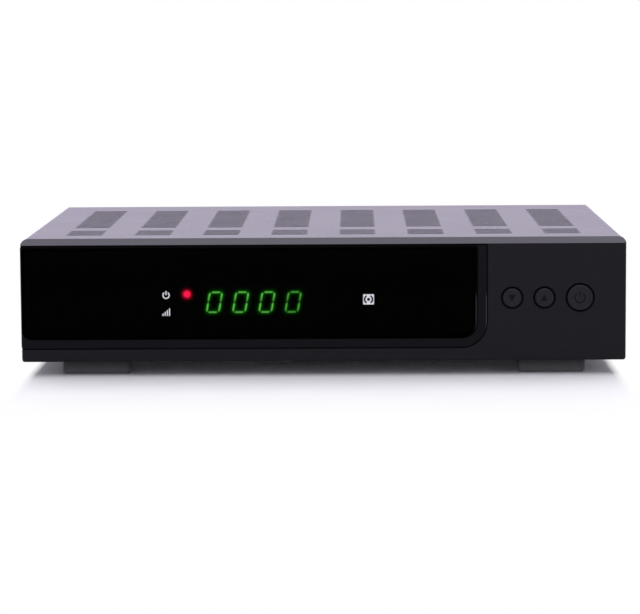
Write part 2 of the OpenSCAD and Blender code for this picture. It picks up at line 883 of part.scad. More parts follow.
module button(x, r) {
    flange_y = panel_back + collar_d + collar_gap;
    front = face_y - button_proud;
    length = flange_y + flange_t - front;
    steps = 6;
    edge = [
        for (i = [0 : steps])
            [r, length] - button_edge * [1 - cos(90 * i / steps), 1 - sin(90 * i / steps)]
    ];
    color([0.16, 0.16, 0.17])
        translate([x, flange_y + flange_t, button_z])
            rotate([90, 0, 0]) {
                rotate_extrude()
                    polygon(concat(
                        [[0, 0], [r + flange_over, 0], [r + flange_over, flange_t], [r, flange_t]],
                        edge, [[0, length]]
                    ));
                translate([0, 0, -(plunger_tip - flange_y - flange_t)])
                    cylinder(h = plunger_tip - flange_y - flange_t + flange_t / 2, r = stem_r);
            }
}

module channel_down_button() { button(channel_down_x, channel_r); }
module channel_up_button() { button(channel_up_x, channel_r); }
module power_button() { button(power_x, power_r); }

module plunger(x) {
    color([0.2, 0.2, 0.2])
        bar_y(x, button_z, switch_y + plunger_in, plunger_out + plunger_in, plunger_r);
}

module channel_down_plunger() { plunger(channel_down_x); }
module channel_up_plunger() { plunger(channel_up_x); }
module power_plunger() { plunger(power_x); }

module key_switch(x) {
    bore_d = plunger_in + button_travel + plunger_floor;
    leg = switch_leg;
    color([0.12, 0.12, 0.13])
        difference() {
            union() {
                front_prism(board_y, switch_h)
                    translate([x, button_z])
                        corner_rect(-switch_w / 2, -switch_w / 2, switch_w / 2, switch_w / 2,
                            switch_corner * [1, 1, 1, 1]);
                for (side = [-1, 1])
                    for (end = [-1, 1])
                        translate([x + side * (switch_w / 2 + leg[0] / 4), board_y - leg[2] / 2,
                                button_z + end * lead_pitch])
                            cube([leg[0], leg[2], leg[1]], center = true);
            }
            bar_y(x, button_z, switch_y + bore_d, bore_d + cut, plunger_r + plunger_play);
        }
}

module channel_down_switch() { key_switch(channel_down_x); }
module channel_up_switch() { key_switch(channel_up_x); }
module power_switch() { key_switch(power_x); }

module front_board() {
    color([0.05, 0.3, 0.15])
        front_prism(board_back, pcb_t)
            difference() {
                corner_rect(board_x0, board_z0, board_x1, board_z0 + front_board_h,
                    board_corner * [1, 1, 1, 1]);
                for (hole = boss_holes)
                    translate(hole)
                        circle(screw_hole_r);
            }
}

module front_board_screws() {
    color([0.7, 0.7, 0.72])
        for (hole = boss_holes)
            translate([hole[0], board_back, hole[1]])
                rotate([-90, 0, 0])
                    screw(screw_len + pcb_t);
}

// Seven-segment digits: a segment is a bar with pointed ends, leaned with the digit
function lean(p) = [p[0] + p[1] * tan(digit_lean), p[1]];
function bar_points(half, s) = [
    [-half, 0], [-half + s, s], [half - s, s], [half, 0], [half - s, -s], [-half + s, -s]
];
digit_dx = (digit_w - digit_stroke) / 2;
digit_dz = (digit_h - digit_stroke) / 2;
// Middle of each segment and whether it lies flat: top, four uprights, bottom
ring_segments = [
    [0, digit_dz, true], [digit_dx, digit_dz / 2, false], [digit_dx, -digit_dz / 2, false],
    [0, -digit_dz, true], [-digit_dx, -digit_dz / 2, false], [-digit_dx, digit_dz / 2, false]
];
function digit_x(i) = display_x + (i - (digits - 1) / 2) * digit_pitch;

module segment(s) {
    half = s[2] ? digit_dx - flat_gap : digit_dz / 2 - upright_gap;
    points = bar_points(half, digit_stroke / 2);
    polygon([for (p = points) lean(s[2] ? [s[0] + p[0], s[1] + p[1]] : [s[0] + p[1], s[1] + p[0]])]);
}

module lit_outline() {
    for (i = [0 : digits - 1])
        translate([digit_x(i), display_z])
            for (s = ring_segments)
                segment(s);
}

module unlit_outline() {
    point_r = 0.45;
    point_step = 0.6;
    for (i = [0 : digits - 1])
        translate([digit_x(i), display_z]) {
            segment([0, 0, true]);
            translate([digit_w / 2 + point_step, -digit_dz])
                circle(point_r);
        }
}

display_front = panel_back + display_gap;

module digit_display() {
    color([0.08, 0.08, 0.08])
        difference() {
            front_prism(board_y, display_d)
                translate([display_x, display_z])
                    square([display_w, display_h], center = true);
            front_prism(display_front + segment_t, segment_t + cut)
                lit_outline();
            front_prism(display_front + segment_t, segment_t + cut)
                unlit_outline();
        }
}

module lit_segments() {
    color([0.2, 1, 0.3])
        front_prism(display_front + segment_t, segment_t)
            lit_outline();
}

module unlit_segments() {
    color([0.35, 0.38, 0.35])
        front_prism(display_front + segment_t, segment_t)
            unlit_outline();
}

// Round lamp with a domed tip and a rim, standing on two leads
module lamp(side) {
    base = lamp_tip + lamp_r + lamp_len;
    translate([lamp_x, 0, display_z + side * lamp_pitch / 2]) {
        translate([0, base, 0])
            rotate([90, 0, 0]) {
                cylinder(h = lamp_len, r = lamp_r);
                cylinder(h = lamp_rim_t, r = lamp_r + lamp_rim);
                translate([0, 0, lamp_len])
                    sphere(lamp_r);
            }
        for (lead = [-1, 1])
            translate([lead * lead_pitch / 2 - lead_w / 2, base - lamp_rim_t / 2, -lead_w / 2])
                cube([lead_w, board_y - base + lamp_rim_t / 2, lead_w]);
    }
}

module power_led() { color([0.9, 0.1, 0.1]) lamp(1); }
module signal_led() { color([0.35, 0.1, 0.1]) lamp(-1); }

module ir_receiver() {
    body_y = panel_back + display_gap + sensor_dome_r;
    color([0.1, 0.08, 0.1])
        translate([sensor_x, body_y, display_z]) {
            translate([-sensor_body[0] / 2, 0, -sensor_body[2] / 2])
                cube(sensor_body);
            sphere(sensor_dome_r);
            for (lead = [-1 : 1])
                translate([lead * lead_pitch - lead_w / 2, sensor_body[1] / 2, -lead_w / 2])
                    cube([lead_w, board_y - body_y - sensor_body[1] / 2, lead_w]);
        }
}

// Flat chip with a row of legs along both long sides, lying on its board at the origin
module chip(size, legs) {
    leg = chip_leg;
    translate([-size[0] / 2, -size[1] / 2, 0])
        cube(size);
    for (i = [0 : legs - 1])
        for (side = [-1, 1])
            translate([(i - (legs - 1) / 2) * size[0] / legs - leg[0] / 2,
                    side * size[1] / 2 - (side < 0 ? leg[1] : 0), 0])
                cube(leg);
}

module display_driver() {
    color([0.08, 0.08, 0.09])
        translate([display_x, board_back, panel_mid])
            rotate([-90, 0, 0])
                chip(driver_size, driver_legs);
}

// Sockets of the flat cable, one on the back of the front board and one on the main board
module ribbon_sockets() {
    color([0.85, 0.83, 0.76]) {
        translate([ribbon_x, board_back + socket_size[2] / 2, ribbon_z])
            cube([socket_size[0], socket_size[2], socket_size[1]], center = true);
        translate([ribbon_x, ribbon_y, pcb_top + socket_size[2] / 2])
            cube(socket_size, center = true);
    }
}

// Flat cable: straight back from the front board, one bend, straight down to the main board
module ribbon_cable() {
    start = board_back + socket_size[2];
    low = pcb_top + socket_size[2];
    color([0.72, 0.72, 0.74])
        side_prism(ribbon_x - ribbon_w / 2, ribbon_w) {
            translate([start, ribbon_z - ribbon_t / 2])
                square([ribbon_y - ribbon_bend - start, ribbon_t]);
            translate([ribbon_y - ribbon_bend, ribbon_z - ribbon_bend])
                intersection() {
                    difference() {
                        circle(ribbon_bend + ribbon_t / 2);
                        circle(ribbon_bend - ribbon_t / 2);
                    }
                    square(2 * ribbon_bend);
                }
            translate([ribbon_y - ribbon_t / 2, low])
                square([ribbon_t, ribbon_z - ribbon_bend - low]);
        }
}

module lying_board(x0, y0, x1, y1, posts) {
    translate([0, 0, pcb_top - pcb_t])
        linear_extrude(pcb_t)
            difference() {
                corner_rect(x0, y0, x1, y1, board_corner * [1, 1, 1, 1]);
                for (post = posts)
                    translate(post)
                        circle(screw_hole_r);
            }
}

module main_board() {
    color([0.05, 0.3, 0.15])
        lying_board(main_x0, main_y0, main_x1, board_rear, main_posts);
}

module power_board() {
    color([0.55, 0.42, 0.22])
        lying_board(supply_x0, supply_y0, supply_x1, board_rear, supply_posts);
}

module board_standoffs() {
    color([0.75, 0.75, 0.77])
        for (post = concat(main_posts, supply_posts))
            translate([post[0], post[1], tray_top])
                difference() {
                    cylinder(h = standoff_h, r = post_r);
                    translate([0, 0, -cut])
                        cylinder(h = standoff_h + 2 * cut, r = screw_bore_r);
                }
}

module board_screws() {
    color([0.7, 0.7, 0.72])
        for (post = concat(main_posts, supply_posts))
            translate([post[0], post[1], pcb_top])
                screw(standoff_h);
}

module main_chip() {
    color([0.1, 0.1, 0.11])
        translate([chip_at[0], chip_at[1], pcb_top])
            chip(chip_size, chip_legs);
}

// Finned heat sink on the main chip
module heat_sink() {
    color([0.68, 0.69, 0.71])
        translate([chip_at[0] - sink_size[0] / 2, chip_at[1] - sink_size[1] / 2, pcb_top + chip_size[2]]) {
            cube([sink_size[0], sink_size[1], sink_base]);
            for (i = [0 : sink_fins - 1])
                translate([i * (sink_size[0] - fin_t) / (sink_fins - 1), 0, 0])
                    cube([fin_t, sink_size[1], sink_size[2]]);
        }
}

module memory_chips() {
    color([0.1, 0.1, 0.11])
        for (k = [-1, 1])
            translate([chip_at[0] + memory_step[0], chip_at[1] + k * memory_step[1], pcb_top])
                chip(memory_size, memory_legs);
}

// Upright can capacitor of [radius, height], with a rolled edge and a groove, standing at the origin
module can_capacitor(size) {
    r = size[0];
    h = size[1];
    roll = 0.6;
    neck = 1.8;
    rotate_extrude()
        polygon([
            [0, 0], [r, 0], [r, neck], [r - roll, neck + roll], [r, neck + 2 * roll],
            [r, h - roll], [r - roll, h], [0, h]
        ]);
}

module board_capacitors() {
    color([0.12, 0.14, 0.2])
        translate([main_mid - small_cap_in[0], board_rear - small_cap_in[1], pcb_top])
            for (i = [0 : small_caps - 1])
                translate([-i * small_cap_step, 0, 0])
                    can_capacitor(small_cap);
}

module bulk_capacitor() {
    color([0.1, 0.12, 0.16])
        translate([supply_x1 - bulk_cap_in[0], board_rear - bulk_cap_in[1], pcb_top])
            can_capacitor(bulk_cap);
}

module output_capacitors() {
    color([0.12, 0.14, 0.2])
        translate([supply_x0 + output_cap_in[0], supply_y0 + output_cap_in[1], pcb_top])
            for (i = [0 : output_caps - 1])
                translate([i * output_cap_step, 0, 0])
                    can_capacitor(output_cap);
}

// Screened tuner with adjustment holes in its lid
module tuner_can() {
    holes = 3;
    hole_r = 2;
    color([0.76, 0.76, 0.74])
        translate([can_x0, board_rear - can_d, pcb_top])
            difference() {
                cube([can_w, can_d, can_h]);
                translate([can_wall, can_wall, -cut])
                    cube([can_w - 2 * can_wall, can_d - 2 * can_wall, can_h - can_wall + cut]);
                for (i = [1 : holes])
                    translate([i * can_w / (holes + 1), can_d / 2, can_h - can_wall - cut])
                        cylinder(h = can_wall + 2 * cut, r = hole_r);
            }
}

// Tube along Y between two depths
module tube_y(x, z, y0, y1, r_out, r_in) {
    difference() {
        bar_y(x, z, y1, y1 - y0, r_out);
        bar_y(x, z, y1 + cut, y1 - y0 + 2 * cut, r_in);
    }
}

rf_end = wall_out + rf_reach;

module rf_input_socket() {
    color([0.78, 0.77, 0.74])
        tube_y(rf_in_x, rf_axis, board_rear, rf_end, rf_socket_r, rf_socket_r - rf_wall);
}

module rf_output_socket() {
    collar_end = wall_out + rf_collar_out;
    color([0.78, 0.77, 0.74])
        difference() {
            union() {
                bar_y(rf_out_x, rf_axis, rf_end, rf_end - board_rear, rf_plug_r);
                bar_y(rf_out_x, rf_axis, collar_end, collar_end - board_rear, rf_collar_r);
            }
            bar_y(rf_out_x, rf_axis, rf_end + cut, rf_end - board_rear + 2 * cut, rf_plug_r - rf_wall);
        }
}

module rf_insulators() {
    depth = wall_out + rf_fill - board_rear;
    color([0.92, 0.91, 0.87]) {
        bar_y(rf_in_x, rf_axis, board_rear + depth, depth, rf_socket_r - rf_wall - insert_play);
        bar_y(rf_out_x, rf_axis, board_rear + depth, depth, rf_plug_r - rf_wall - insert_play);
    }
}

module rf_contacts() {
    seat = wall_out + rf_fill;
    color([0.8, 0.68, 0.35]) {
        tube_y(rf_in_x, rf_axis, seat, rf_end - rf_pin_back, rf_sleeve_r, rf_pin_r);
        bar_y(rf_out_x, rf_axis, rf_end - rf_pin_back, rf_end - rf_pin_back - seat, rf_pin_r);
    }
}

// Outline of the HDMI shell: a rectangle with its lower corners cut off, drawn in by inset
module hdmi_outline(inset) {
    w = hdmi_w / 2 - inset;
    c = hdmi_corner - inset / 2;
    low = pcb_top + inset;
    high = pcb_top + hdmi_h - inset;
    polygon([
        [hdmi_x - w, high], [hdmi_x - w, low + c], [hdmi_x - w + c, low],
        [hdmi_x + w - c, low], [hdmi_x + w, low + c], [hdmi_x + w, high]
    ]);
}

hdmi_end = wall_out + hdmi_out;

module hdmi_shell() {
    color([0.78, 0.78, 0.8])
        difference() {
            front_prism(hdmi_end, hdmi_d)
                hdmi_outline(0);
            front_prism(hdmi_end + cut, hdmi_d + cut - shell_t)
                hdmi_outline(shell_t);
        }
}

module hdmi_insert() {
    floor_y = hdmi_end - hdmi_d + shell_t;
    tongue = [11.2, hdmi_d - shell_t - insert_back - tongue_back, 1.2];
    color([0.08, 0.08, 0.08]) {
        front_prism(floor_y + insert_back, insert_back)
            hdmi_outline(shell_t + insert_play);
        translate([hdmi_x - tongue[0] / 2, floor_y + insert_back - cut, pcb_top + hdmi_h / 2])
            cube([tongue[0], tongue[1] + cut, tongue[2]]);
    }
}

module usb_shell() {
    color([0.78, 0.78, 0.8])
        difference() {
            translate([usb_x - usb_w / 2, hdmi_end - usb_d, pcb_top])
                cube([usb_w, usb_d, usb_h]);
            translate([usb_x - usb_w / 2 + shell_t, hdmi_end - usb_d + shell_t, pcb_top + shell_t])
                cube([usb_w - 2 * shell_t, usb_d + cut, usb_h - 2 * shell_t]);
        }
}

module usb_insert() {
    inset = shell_t + insert_play;
    floor_y = hdmi_end - usb_d + shell_t;
    tongue = [11, usb_d - shell_t - insert_back - tongue_back, 1.8];
    over_tongue = 0.7;
    tongue_z = pcb_top + usb_h - shell_t - over_tongue - tongue[2];
    color([0.08, 0.08, 0.08]) {
        translate([usb_x - usb_w / 2 + inset, floor_y, pcb_top + inset])
            cube([usb_w - 2 * inset, insert_back, usb_h - 2 * inset]);
        translate([usb_x - tongue[0] / 2, floor_y + insert_back - cut, tongue_z])
            cube([tongue[0], tongue[1] + cut, tongue[2]]);
    }
}

// SCART socket: slanted raised island with two rows of contact slots inside a groove
module scart_outline(inset) {
    w = scart_w / 2 - inset;
    low = pcb_top + inset;
    high = pcb_top + scart_h - inset;
    polygon([
        [scart_x - w, low + scart_slant], [scart_x - w + scart_slant, low], [scart_x + w, low],
        [scart_x + w, high], [scart_x - w, high]
    ]);
}

module scart_socket() {
    end = wall_out + scart_out;
    middle = pcb_top + scart_h / 2;
    first_x = scart_x - (scart_pins - 1) / 2 * scart_pin_pitch;
    color([0.08, 0.08, 0.09])
        difference() {
            translate([scart_x - scart_w / 2, end - scart_d, pcb_top])
                cube([scart_w, scart_d, scart_h]);
            front_prism(end + cut, scart_depth + cut)
                difference() {
                    scart_outline(scart_rim);
                    scart_outline(scart_rim + scart_groove);
                }
            for (row = [-1, 1])
                front_prism(end + cut, scart_depth + cut)
                    translate([first_x + row * scart_stagger, middle + row * scart_row])
                        for (i = [0 : scart_pins - 1])
                            translate([i * scart_pin_pitch, 0])
                                square(scart_pin, center = true);
        }
}

// Digital audio socket: a block on the board, with a metal ring round its insulator
module spdif_housing() {
    core_r = spdif_r - spdif_ring_t - insert_play;
    core_end = wall_out + spdif_reach - spdif_core_back;
    color([0.1, 0.1, 0.11])
        difference() {
            union() {
                translate([spdif_x - spdif_block[0] / 2, board_rear - spdif_block[1], pcb_top])
                    cube(spdif_block);
                bar_y(spdif_x, spdif_axis, core_end, core_end - board_rear + cut, core_r);
            }
            bar_y(spdif_x, spdif_axis, wall_out + spdif_reach + cut, spdif_reach + 2 * cut, spdif_hole_r);
        }
}

module spdif_ring() {
    end = wall_out + spdif_reach;
    collar_end = wall_out + spdif_collar_out;
    color([0.8, 0.8, 0.78])
        difference() {
            union() {
                bar_y(spdif_x, spdif_axis, end, end - board_rear, spdif_r);
                bar_y(spdif_x, spdif_axis, collar_end, collar_end - board_rear, spdif_collar_r);
            }
            bar_y(spdif_x, spdif_axis, end + cut, end - board_rear + 2 * cut, spdif_r - spdif_ring_t);
        }
}

inlet_end = wall_out + inlet_out;

// Two-pole mains inlet: a recess with round ends and two pins
module mains_inlet() {
    color([0.07, 0.07, 0.07])
        difference() {
            translate([inlet_x - inlet_w / 2, inlet_end - inlet_d, pcb_top])
                cube([inlet_w, inlet_d, inlet_h]);
            front_prism(inlet_end + cut, inlet_depth + cut)
                translate([inlet_x, inlet_axis])
                    slot_outline(2 * (inlet_cavity_x + inlet_cavity_r), 2 * inlet_cavity_r);
        }
}

module mains_pins() {
    tip = 0.6;
    color([0.8, 0.76, 0.62])
        for (side = [-1, 1])
            translate([inlet_x + side * inlet_pin_x, inlet_end - inlet_depth, inlet_axis])
                rotate([-90, 0, 0]) {
                    cylinder(h = inlet_pin_len - tip, r = inlet_pin_r);
                    translate([0, 0, inlet_pin_len - tip])
                        cylinder(h = tip, r1 = inlet_pin_r, r2 = inlet_pin_r - tip / 2);
                }
}

// Glass fuse in two clips
module fuse() {
    cap_r = fuse_r + fuse_cap_t;
    axis = pcb_top + fuse_up;
    x = supply_x1 - fuse_in[0];
    y1 = board_rear - fuse_in[1];
    color([0.8, 0.8, 0.78]) {
        bar_y(x, axis, y1, fuse_len, fuse_r);
        for (y = [y1, y1 - fuse_len + fuse_cap_len]) {
            bar_y(x, axis, y, fuse_cap_len, cap_r);
            translate([x - cap_r - clip_t, y - fuse_cap_len + clip_in, pcb_top])
                cube([2 * (cap_r + clip_t), fuse_cap_len - 2 * clip_in, fuse_up - clip_drop]);
        }
    }
}

// Mains filter: a square core with a winding on each of its two limbs
module line_choke() {
    core = choke_core;
    limb = choke_limb;
    color([0.5, 0.3, 0.14])
        translate([supply_x0 + choke_in[0], board_rear - choke_in[1], pcb_top]) {
            difference() {
                translate([-core[0] / 2, -core[1] / 2, 0])
                    cube(core);
                translate([-core[0] / 2 + limb, -core[1] / 2 - cut, limb])
                    cube([core[0] - 2 * limb, core[1] + 2 * cut, core[2] - 2 * limb]);
            }
            for (side = [-1, 1])
                translate([side * (core[0] / 2 - limb / 2), 0, limb])
                    cylinder(h = core[2] - 2 * limb, r = choke_coil_r);
        }
}

// Switching transformer: ferrite frame round a taped winding
module transformer() {
    core = transformer_core;
    coil = transformer_coil;
    color([0.78, 0.62, 0.2])
        translate([supply_x0 + transformer_in[0], board_rear - transformer_in[1], pcb_top]) {
            translate([-core[0] / 2, -core[1] / 2, 0])
                cube(core);
            translate([-coil[0] / 2, -coil[1] / 2, 0])
                cube(coil);
        }
}

module power_sockets() {
    color([0.88, 0.87, 0.82])
        for (x = [harness_x0, harness_x1])
            translate([x, harness_y, pcb_top + harness_socket[2] / 2])
                cube(harness_socket, center = true);
}

// Wires that arch from the power board's socket to the main board's socket
module power_harness() {
    arch = (harness_x1 - harness_x0) / 2;
    color([0.75, 0.15, 0.12])
        for (i = [0 : harness_wires - 1])
            translate([0, (i - (harness_wires - 1) / 2) * harness_pitch, 0])
                translate([(harness_x0 + harness_x1) / 2, harness_y, pcb_top + harness_socket[2]])
                    rotate([90, 0, 0])
                        rotate_extrude(angle = 180)
                            translate([arch, 0])
                                circle(wire_r);
}

front_panel();
display_bezel();
display_window();
top_cover();
bottom_tray();
cover_screws();
foot_front_left();
foot_front_right();
foot_rear_left();
foot_rear_right();
channel_down_button();
channel_up_button();
power_button();
channel_down_plunger();
channel_up_plunger();
power_plunger();
channel_down_switch();
channel_up_switch();
power_switch();
front_board();
front_board_screws();
digit_display();
lit_segments();
unlit_segments();
power_led();
signal_led();
ir_receiver();
display_driver();
ribbon_sockets();
ribbon_cable();
main_board();
board_standoffs();
board_screws();
main_chip();
heat_sink();
memory_chips();
board_capacitors();
tuner_can();
rf_input_socket();
rf_output_socket();
rf_insulators();
rf_contacts();
hdmi_shell();
hdmi_insert();
usb_shell();
usb_insert();
scart_socket();
spdif_housing();
spdif_ring();
power_board();
mains_inlet();
mains_pins();
fuse();
line_choke();
bulk_capacitor();
transformer();
output_capacitors();
power_sockets();
power_harness();
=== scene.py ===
"""Cable television receiver: finishes, small printed signs, contacts and a plain white studio.

All lengths are metres in the frame's own axes: +X right, +Y back, +Z up, floor at zero.
"""
import json
from math import cos, radians, sin, tan, tau

import bmesh
import bpy
from mathutils import Matrix, Vector


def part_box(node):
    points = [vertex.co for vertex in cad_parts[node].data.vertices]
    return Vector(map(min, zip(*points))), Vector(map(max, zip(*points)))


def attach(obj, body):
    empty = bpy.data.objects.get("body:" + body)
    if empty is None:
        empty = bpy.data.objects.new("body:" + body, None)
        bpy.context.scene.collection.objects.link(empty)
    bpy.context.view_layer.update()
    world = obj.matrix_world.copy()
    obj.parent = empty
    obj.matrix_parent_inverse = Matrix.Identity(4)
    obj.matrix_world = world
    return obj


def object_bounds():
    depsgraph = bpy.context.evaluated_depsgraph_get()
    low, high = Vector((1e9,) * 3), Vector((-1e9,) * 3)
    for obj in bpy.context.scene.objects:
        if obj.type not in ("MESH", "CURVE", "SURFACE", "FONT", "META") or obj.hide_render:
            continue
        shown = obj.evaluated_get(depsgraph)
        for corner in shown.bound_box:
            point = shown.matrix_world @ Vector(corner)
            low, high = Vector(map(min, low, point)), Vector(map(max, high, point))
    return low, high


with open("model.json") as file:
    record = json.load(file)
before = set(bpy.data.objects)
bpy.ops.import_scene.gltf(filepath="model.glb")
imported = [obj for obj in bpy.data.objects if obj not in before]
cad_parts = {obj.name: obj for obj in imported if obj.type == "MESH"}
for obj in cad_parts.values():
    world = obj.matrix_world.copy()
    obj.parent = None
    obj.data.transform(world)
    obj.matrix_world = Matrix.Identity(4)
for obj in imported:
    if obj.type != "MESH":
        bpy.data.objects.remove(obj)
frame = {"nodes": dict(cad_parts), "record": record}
NODES = frame["nodes"]
CAD_BOX = [list(corner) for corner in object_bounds()]
MM = 0.001

# Thickness of a print or film, and radius of the lit part of the power lamp
INK = 0.02 * MM
LAMP_EDGE = 1.45 * MM


def front_middle(node):
    """The middle of a CAD node as seen from the front: its x and z."""
    low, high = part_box(node)
    return (low.x + high.x) / 2, (low.z + high.z) / 2


# Shader building blocks


class Finish:
    """A Principled material and the few procedural blocks that the finishes share."""

    def __init__(self, name, **sockets):
        self.name = name
        self.material = bpy.data.materials.new(name)
        self.material.use_nodes = True
        self.tree = self.material.node_tree
        self.shader = self.tree.nodes["Principled BSDF"]
        self.place = self.node("ShaderNodeTexCoord").outputs["Object"]
        for socket, value in sockets.items():
            self.shader.inputs[socket.replace("_", " ")].default_value = value

    def node(self, kind, inputs=None, **settings):
        """A new node; its inputs are links or plain values."""
        made = self.tree.nodes.new(kind)
        for key, value in settings.items():
            setattr(made, key, value)
        for key, value in (inputs or {}).items():
            if isinstance(value, bpy.types.NodeSocket):
                self.tree.links.new(value, made.inputs[key])
            else:
                made.inputs[key].default_value = value
        return made

    def drive(self, socket, source):
        """Links source to one of the shader's sockets."""
        self.tree.links.new(source, self.shader.inputs[socket])

    def stretched(self, factors):
        """The object's coordinates, scaled along each axis."""
        return self.node(
            "ShaderNodeMapping", {"Vector": self.place, "Scale": factors}
        ).outputs["Vector"]

    def noise(self, grain, detail=3.0, stretch=(1, 1, 1)):
        """Smooth noise whose features are about grain millimetres."""
        return self.node(
            "ShaderNodeTexNoise",
            {"Vector": self.stretched(stretch), "Scale": 1 / (grain * MM), "Detail": detail},
        ).outputs["Fac"]

    def cells(self, grain, output="Distance", **settings):
        """Voronoi cells about grain millimetres across."""
        return self.node(
            "ShaderNodeTexVoronoi", {"Vector": self.place, "Scale": 1 / (grain * MM)}, **settings
        ).outputs[output]

    def axis(self, name):
        """The coordinate along X, Y or Z, in metres."""
        return self.node("ShaderNodeSeparateXYZ", {"Vector": self.place}).outputs[name]

    def span(self, value, low, high, to_low=0.0, to_high=1.0):
        """value from low..high to to_low..to_high, clamped."""
        return self.node(
            "ShaderNodeMapRange",
            {"Value": value, 1: low, 2: high, 3: to_low, 4: to_high},
        ).outputs["Result"]

    def vary(self, noise, low, high):
        """A number that wanders from low to high over the usual range of a noise."""
        return self.span(noise, 0.3, 0.7, low, high)

    def math(self, operation, a, b=0.0):
        return self.node("ShaderNodeMath", {0: a, 1: b}, operation=operation).outputs["Value"]

    def blend(self, factor, low, high):
        """Colour that goes from low to high with factor."""
        made = self.node("ShaderNodeMix", {"Factor": factor}, data_type="RGBA")
        for socket, value in ((6, low), (7, high)):
            if isinstance(value, bpy.types.NodeSocket):
                self.tree.links.new(value, made.inputs[socket])
            else:
                made.inputs[socket].default_value = (*value, 1.0)
        return made.outputs[2]

    def bands(self, value, stops):
        """Hard-edged colours along value; stops are (start, colour)."""
        ramp = self.node("ShaderNodeValToRGB", {"Fac": value})
        ramp.color_ramp.interpolation = "CONSTANT"
        while len(ramp.color_ramp.elements) < len(stops):
            ramp.color_ramp.elements.new(1.0)
        for element, (start, colour) in zip(ramp.color_ramp.elements, stops):
            element.position = start
            element.color = (*colour, 1.0)
        return ramp.outputs["Color"]

    def relief(self, height, depth):
        """Bumps of depth millimetres."""
        bump = self.node(
            "ShaderNodeBump", {"Height": height, "Distance": depth * MM, "Strength": 1.0}
        )
        self.drive("Normal", bump.outputs["Normal"])


def tint(colour, factor):
    """A colour made darker or lighter."""
    return tuple(channel * factor for channel in colour)


def grained(name, colour, roughness, grain, depth, mottle=0.12, **sockets):
    """A finish of one colour, mottled and uneven in its gloss, with a fine relief.

    grain and depth are the width and depth of the relief in millimetres.
    """
    polish, mottle_grain = 0.06, grain * 14
    finish = Finish(name, **sockets)
    fine = finish.noise(grain)
    broad = finish.noise(mottle_grain, detail=4.0)
    finish.drive("Base Color", finish.blend(broad, tint(colour, 1 - mottle), tint(colour, 1 + mottle)))
    finish.drive("Roughness", finish.vary(fine, roughness - polish, roughness + polish))
    finish.relief(fine, depth)
    return finish


def brushed(name, colour, roughness, stretch):
    """Plated or drawn metal: streaks along the axis that stretch squeezes, and faint blotches."""
    polish = 0.08
    finish = Finish(name, Metallic=1.0)
    streak = finish.noise(grain=0.25, detail=2.0, stretch=stretch)
    blotch = finish.noise(grain=6.0)
    finish.drive("Base Color", finish.blend(blotch, tint(colour, 0.86), tint(colour, 1.08)))
    finish.drive("Roughness", finish.vary(streak, roughness - polish, roughness + polish))
    finish.relief(streak, depth=0.004)
    return finish


# Finishes of the case


def make_cover_paint():
    """Satin black powder coat: a faint orange-peel, and a violet haze at low angles."""
    finish = Finish(
        "cover_paint",
        IOR=1.5,
        Sheen_Weight=1.0,
        Sheen_Roughness=0.3,
        Sheen_Tint=(0.83, 0.70, 0.98, 1.0),
    )
    peel = finish.noise(grain=1.1, detail=2.0)
    broad = finish.noise(grain=30.0)
    finish.drive("Base Color", finish.blend(broad, (0.017, 0.016, 0.019), (0.023, 0.022, 0.026)))
    finish.drive("Roughness", finish.vary(broad, 0.25, 0.29))
    finish.relief(peel, depth=0.006)
    return finish


def make_window_acrylic():
    """Smoked acrylic: nearly black, clear enough for the digits and the lamp behind it."""
    finish = Finish(
        "window_acrylic",
        Base_Color=(0.06, 0.06, 0.06, 1.0),
        Transmission_Weight=1.0,
        IOR=1.05,
    )
    finish.drive("Roughness", finish.vary(finish.noise(grain=20.0), 0.015, 0.03))
    return finish


def make_right_edge(name, black, highlight_colour, gloss):
    """Upright edge of the window or of its frame: black, with a painted highlight in a band above the
    lower corner.
    """
    finish = Finish(name, Roughness=0.45, Specular_IOR_Level=gloss)
    low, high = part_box("display_window")
    up = finish.span(finish.axis("Z"), low.z, high.z)
    above_corner = finish.span(up, 0.08, 0.18)
    below_middle = finish.span(up, 0.50, 0.44)
    # Painted highlight: a lighter band from just above the lower corner to about half the window's
    # height
    highlight_band = finish.math("MULTIPLY", above_corner, below_middle)
    uneven = finish.blend(finish.noise(grain=0.6), tint(highlight_colour, 0.85), highlight_colour)
    finish.drive("Base Color", finish.blend(highlight_band, black, uneven))
    return finish


def make_foot_rubber():
    """Dull dark rubber, with painted light that turns it paler towards the floor."""
    # Painted light: paler near the floor, darker higher up
    painted_light_low, rubber_colour = (0.16, 0.16, 0.165), (0.038, 0.038, 0.040)
    finish = Finish("foot_rubber", Specular_IOR_Level=0.25)
    fine = finish.noise(grain=0.4)
    low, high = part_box("foot_front_left")
    level = finish.span(finish.axis("Z"), low.z, high.z)
    up = finish.math("ADD", level, finish.vary(fine, -0.05, 0.05))
    finish.drive("Base Color", finish.blend(finish.span(up, 0.0, 0.5), painted_light_low, rubber_colour))
    finish.drive("Roughness", finish.vary(fine, 0.7, 0.8))
    finish.relief(fine, depth=0.02)
    return finish


def make_zinc_sheet():
    """Zinc-plated sheet with its fine crystal flakes."""
    finish = Finish("tray_steel", Metallic=1.0)
    flake = finish.node(
        "ShaderNodeSeparateColor", {"Color": finish.cells(grain=2.6, output="Color")}
    ).outputs["Red"]
    streak = finish.noise(grain=0.4, detail=2.0, stretch=(0.06, 1, 1))
    finish.drive("Base Color", finish.blend(flake, (0.52, 0.53, 0.55), (0.59, 0.60, 0.62)))
    finish.drive("Roughness", finish.span(flake, 0.0, 1.0, 0.34, 0.42))
    finish.relief(streak, depth=0.003)
    return finish


# Finishes of the lamps, the digits and the inner parts


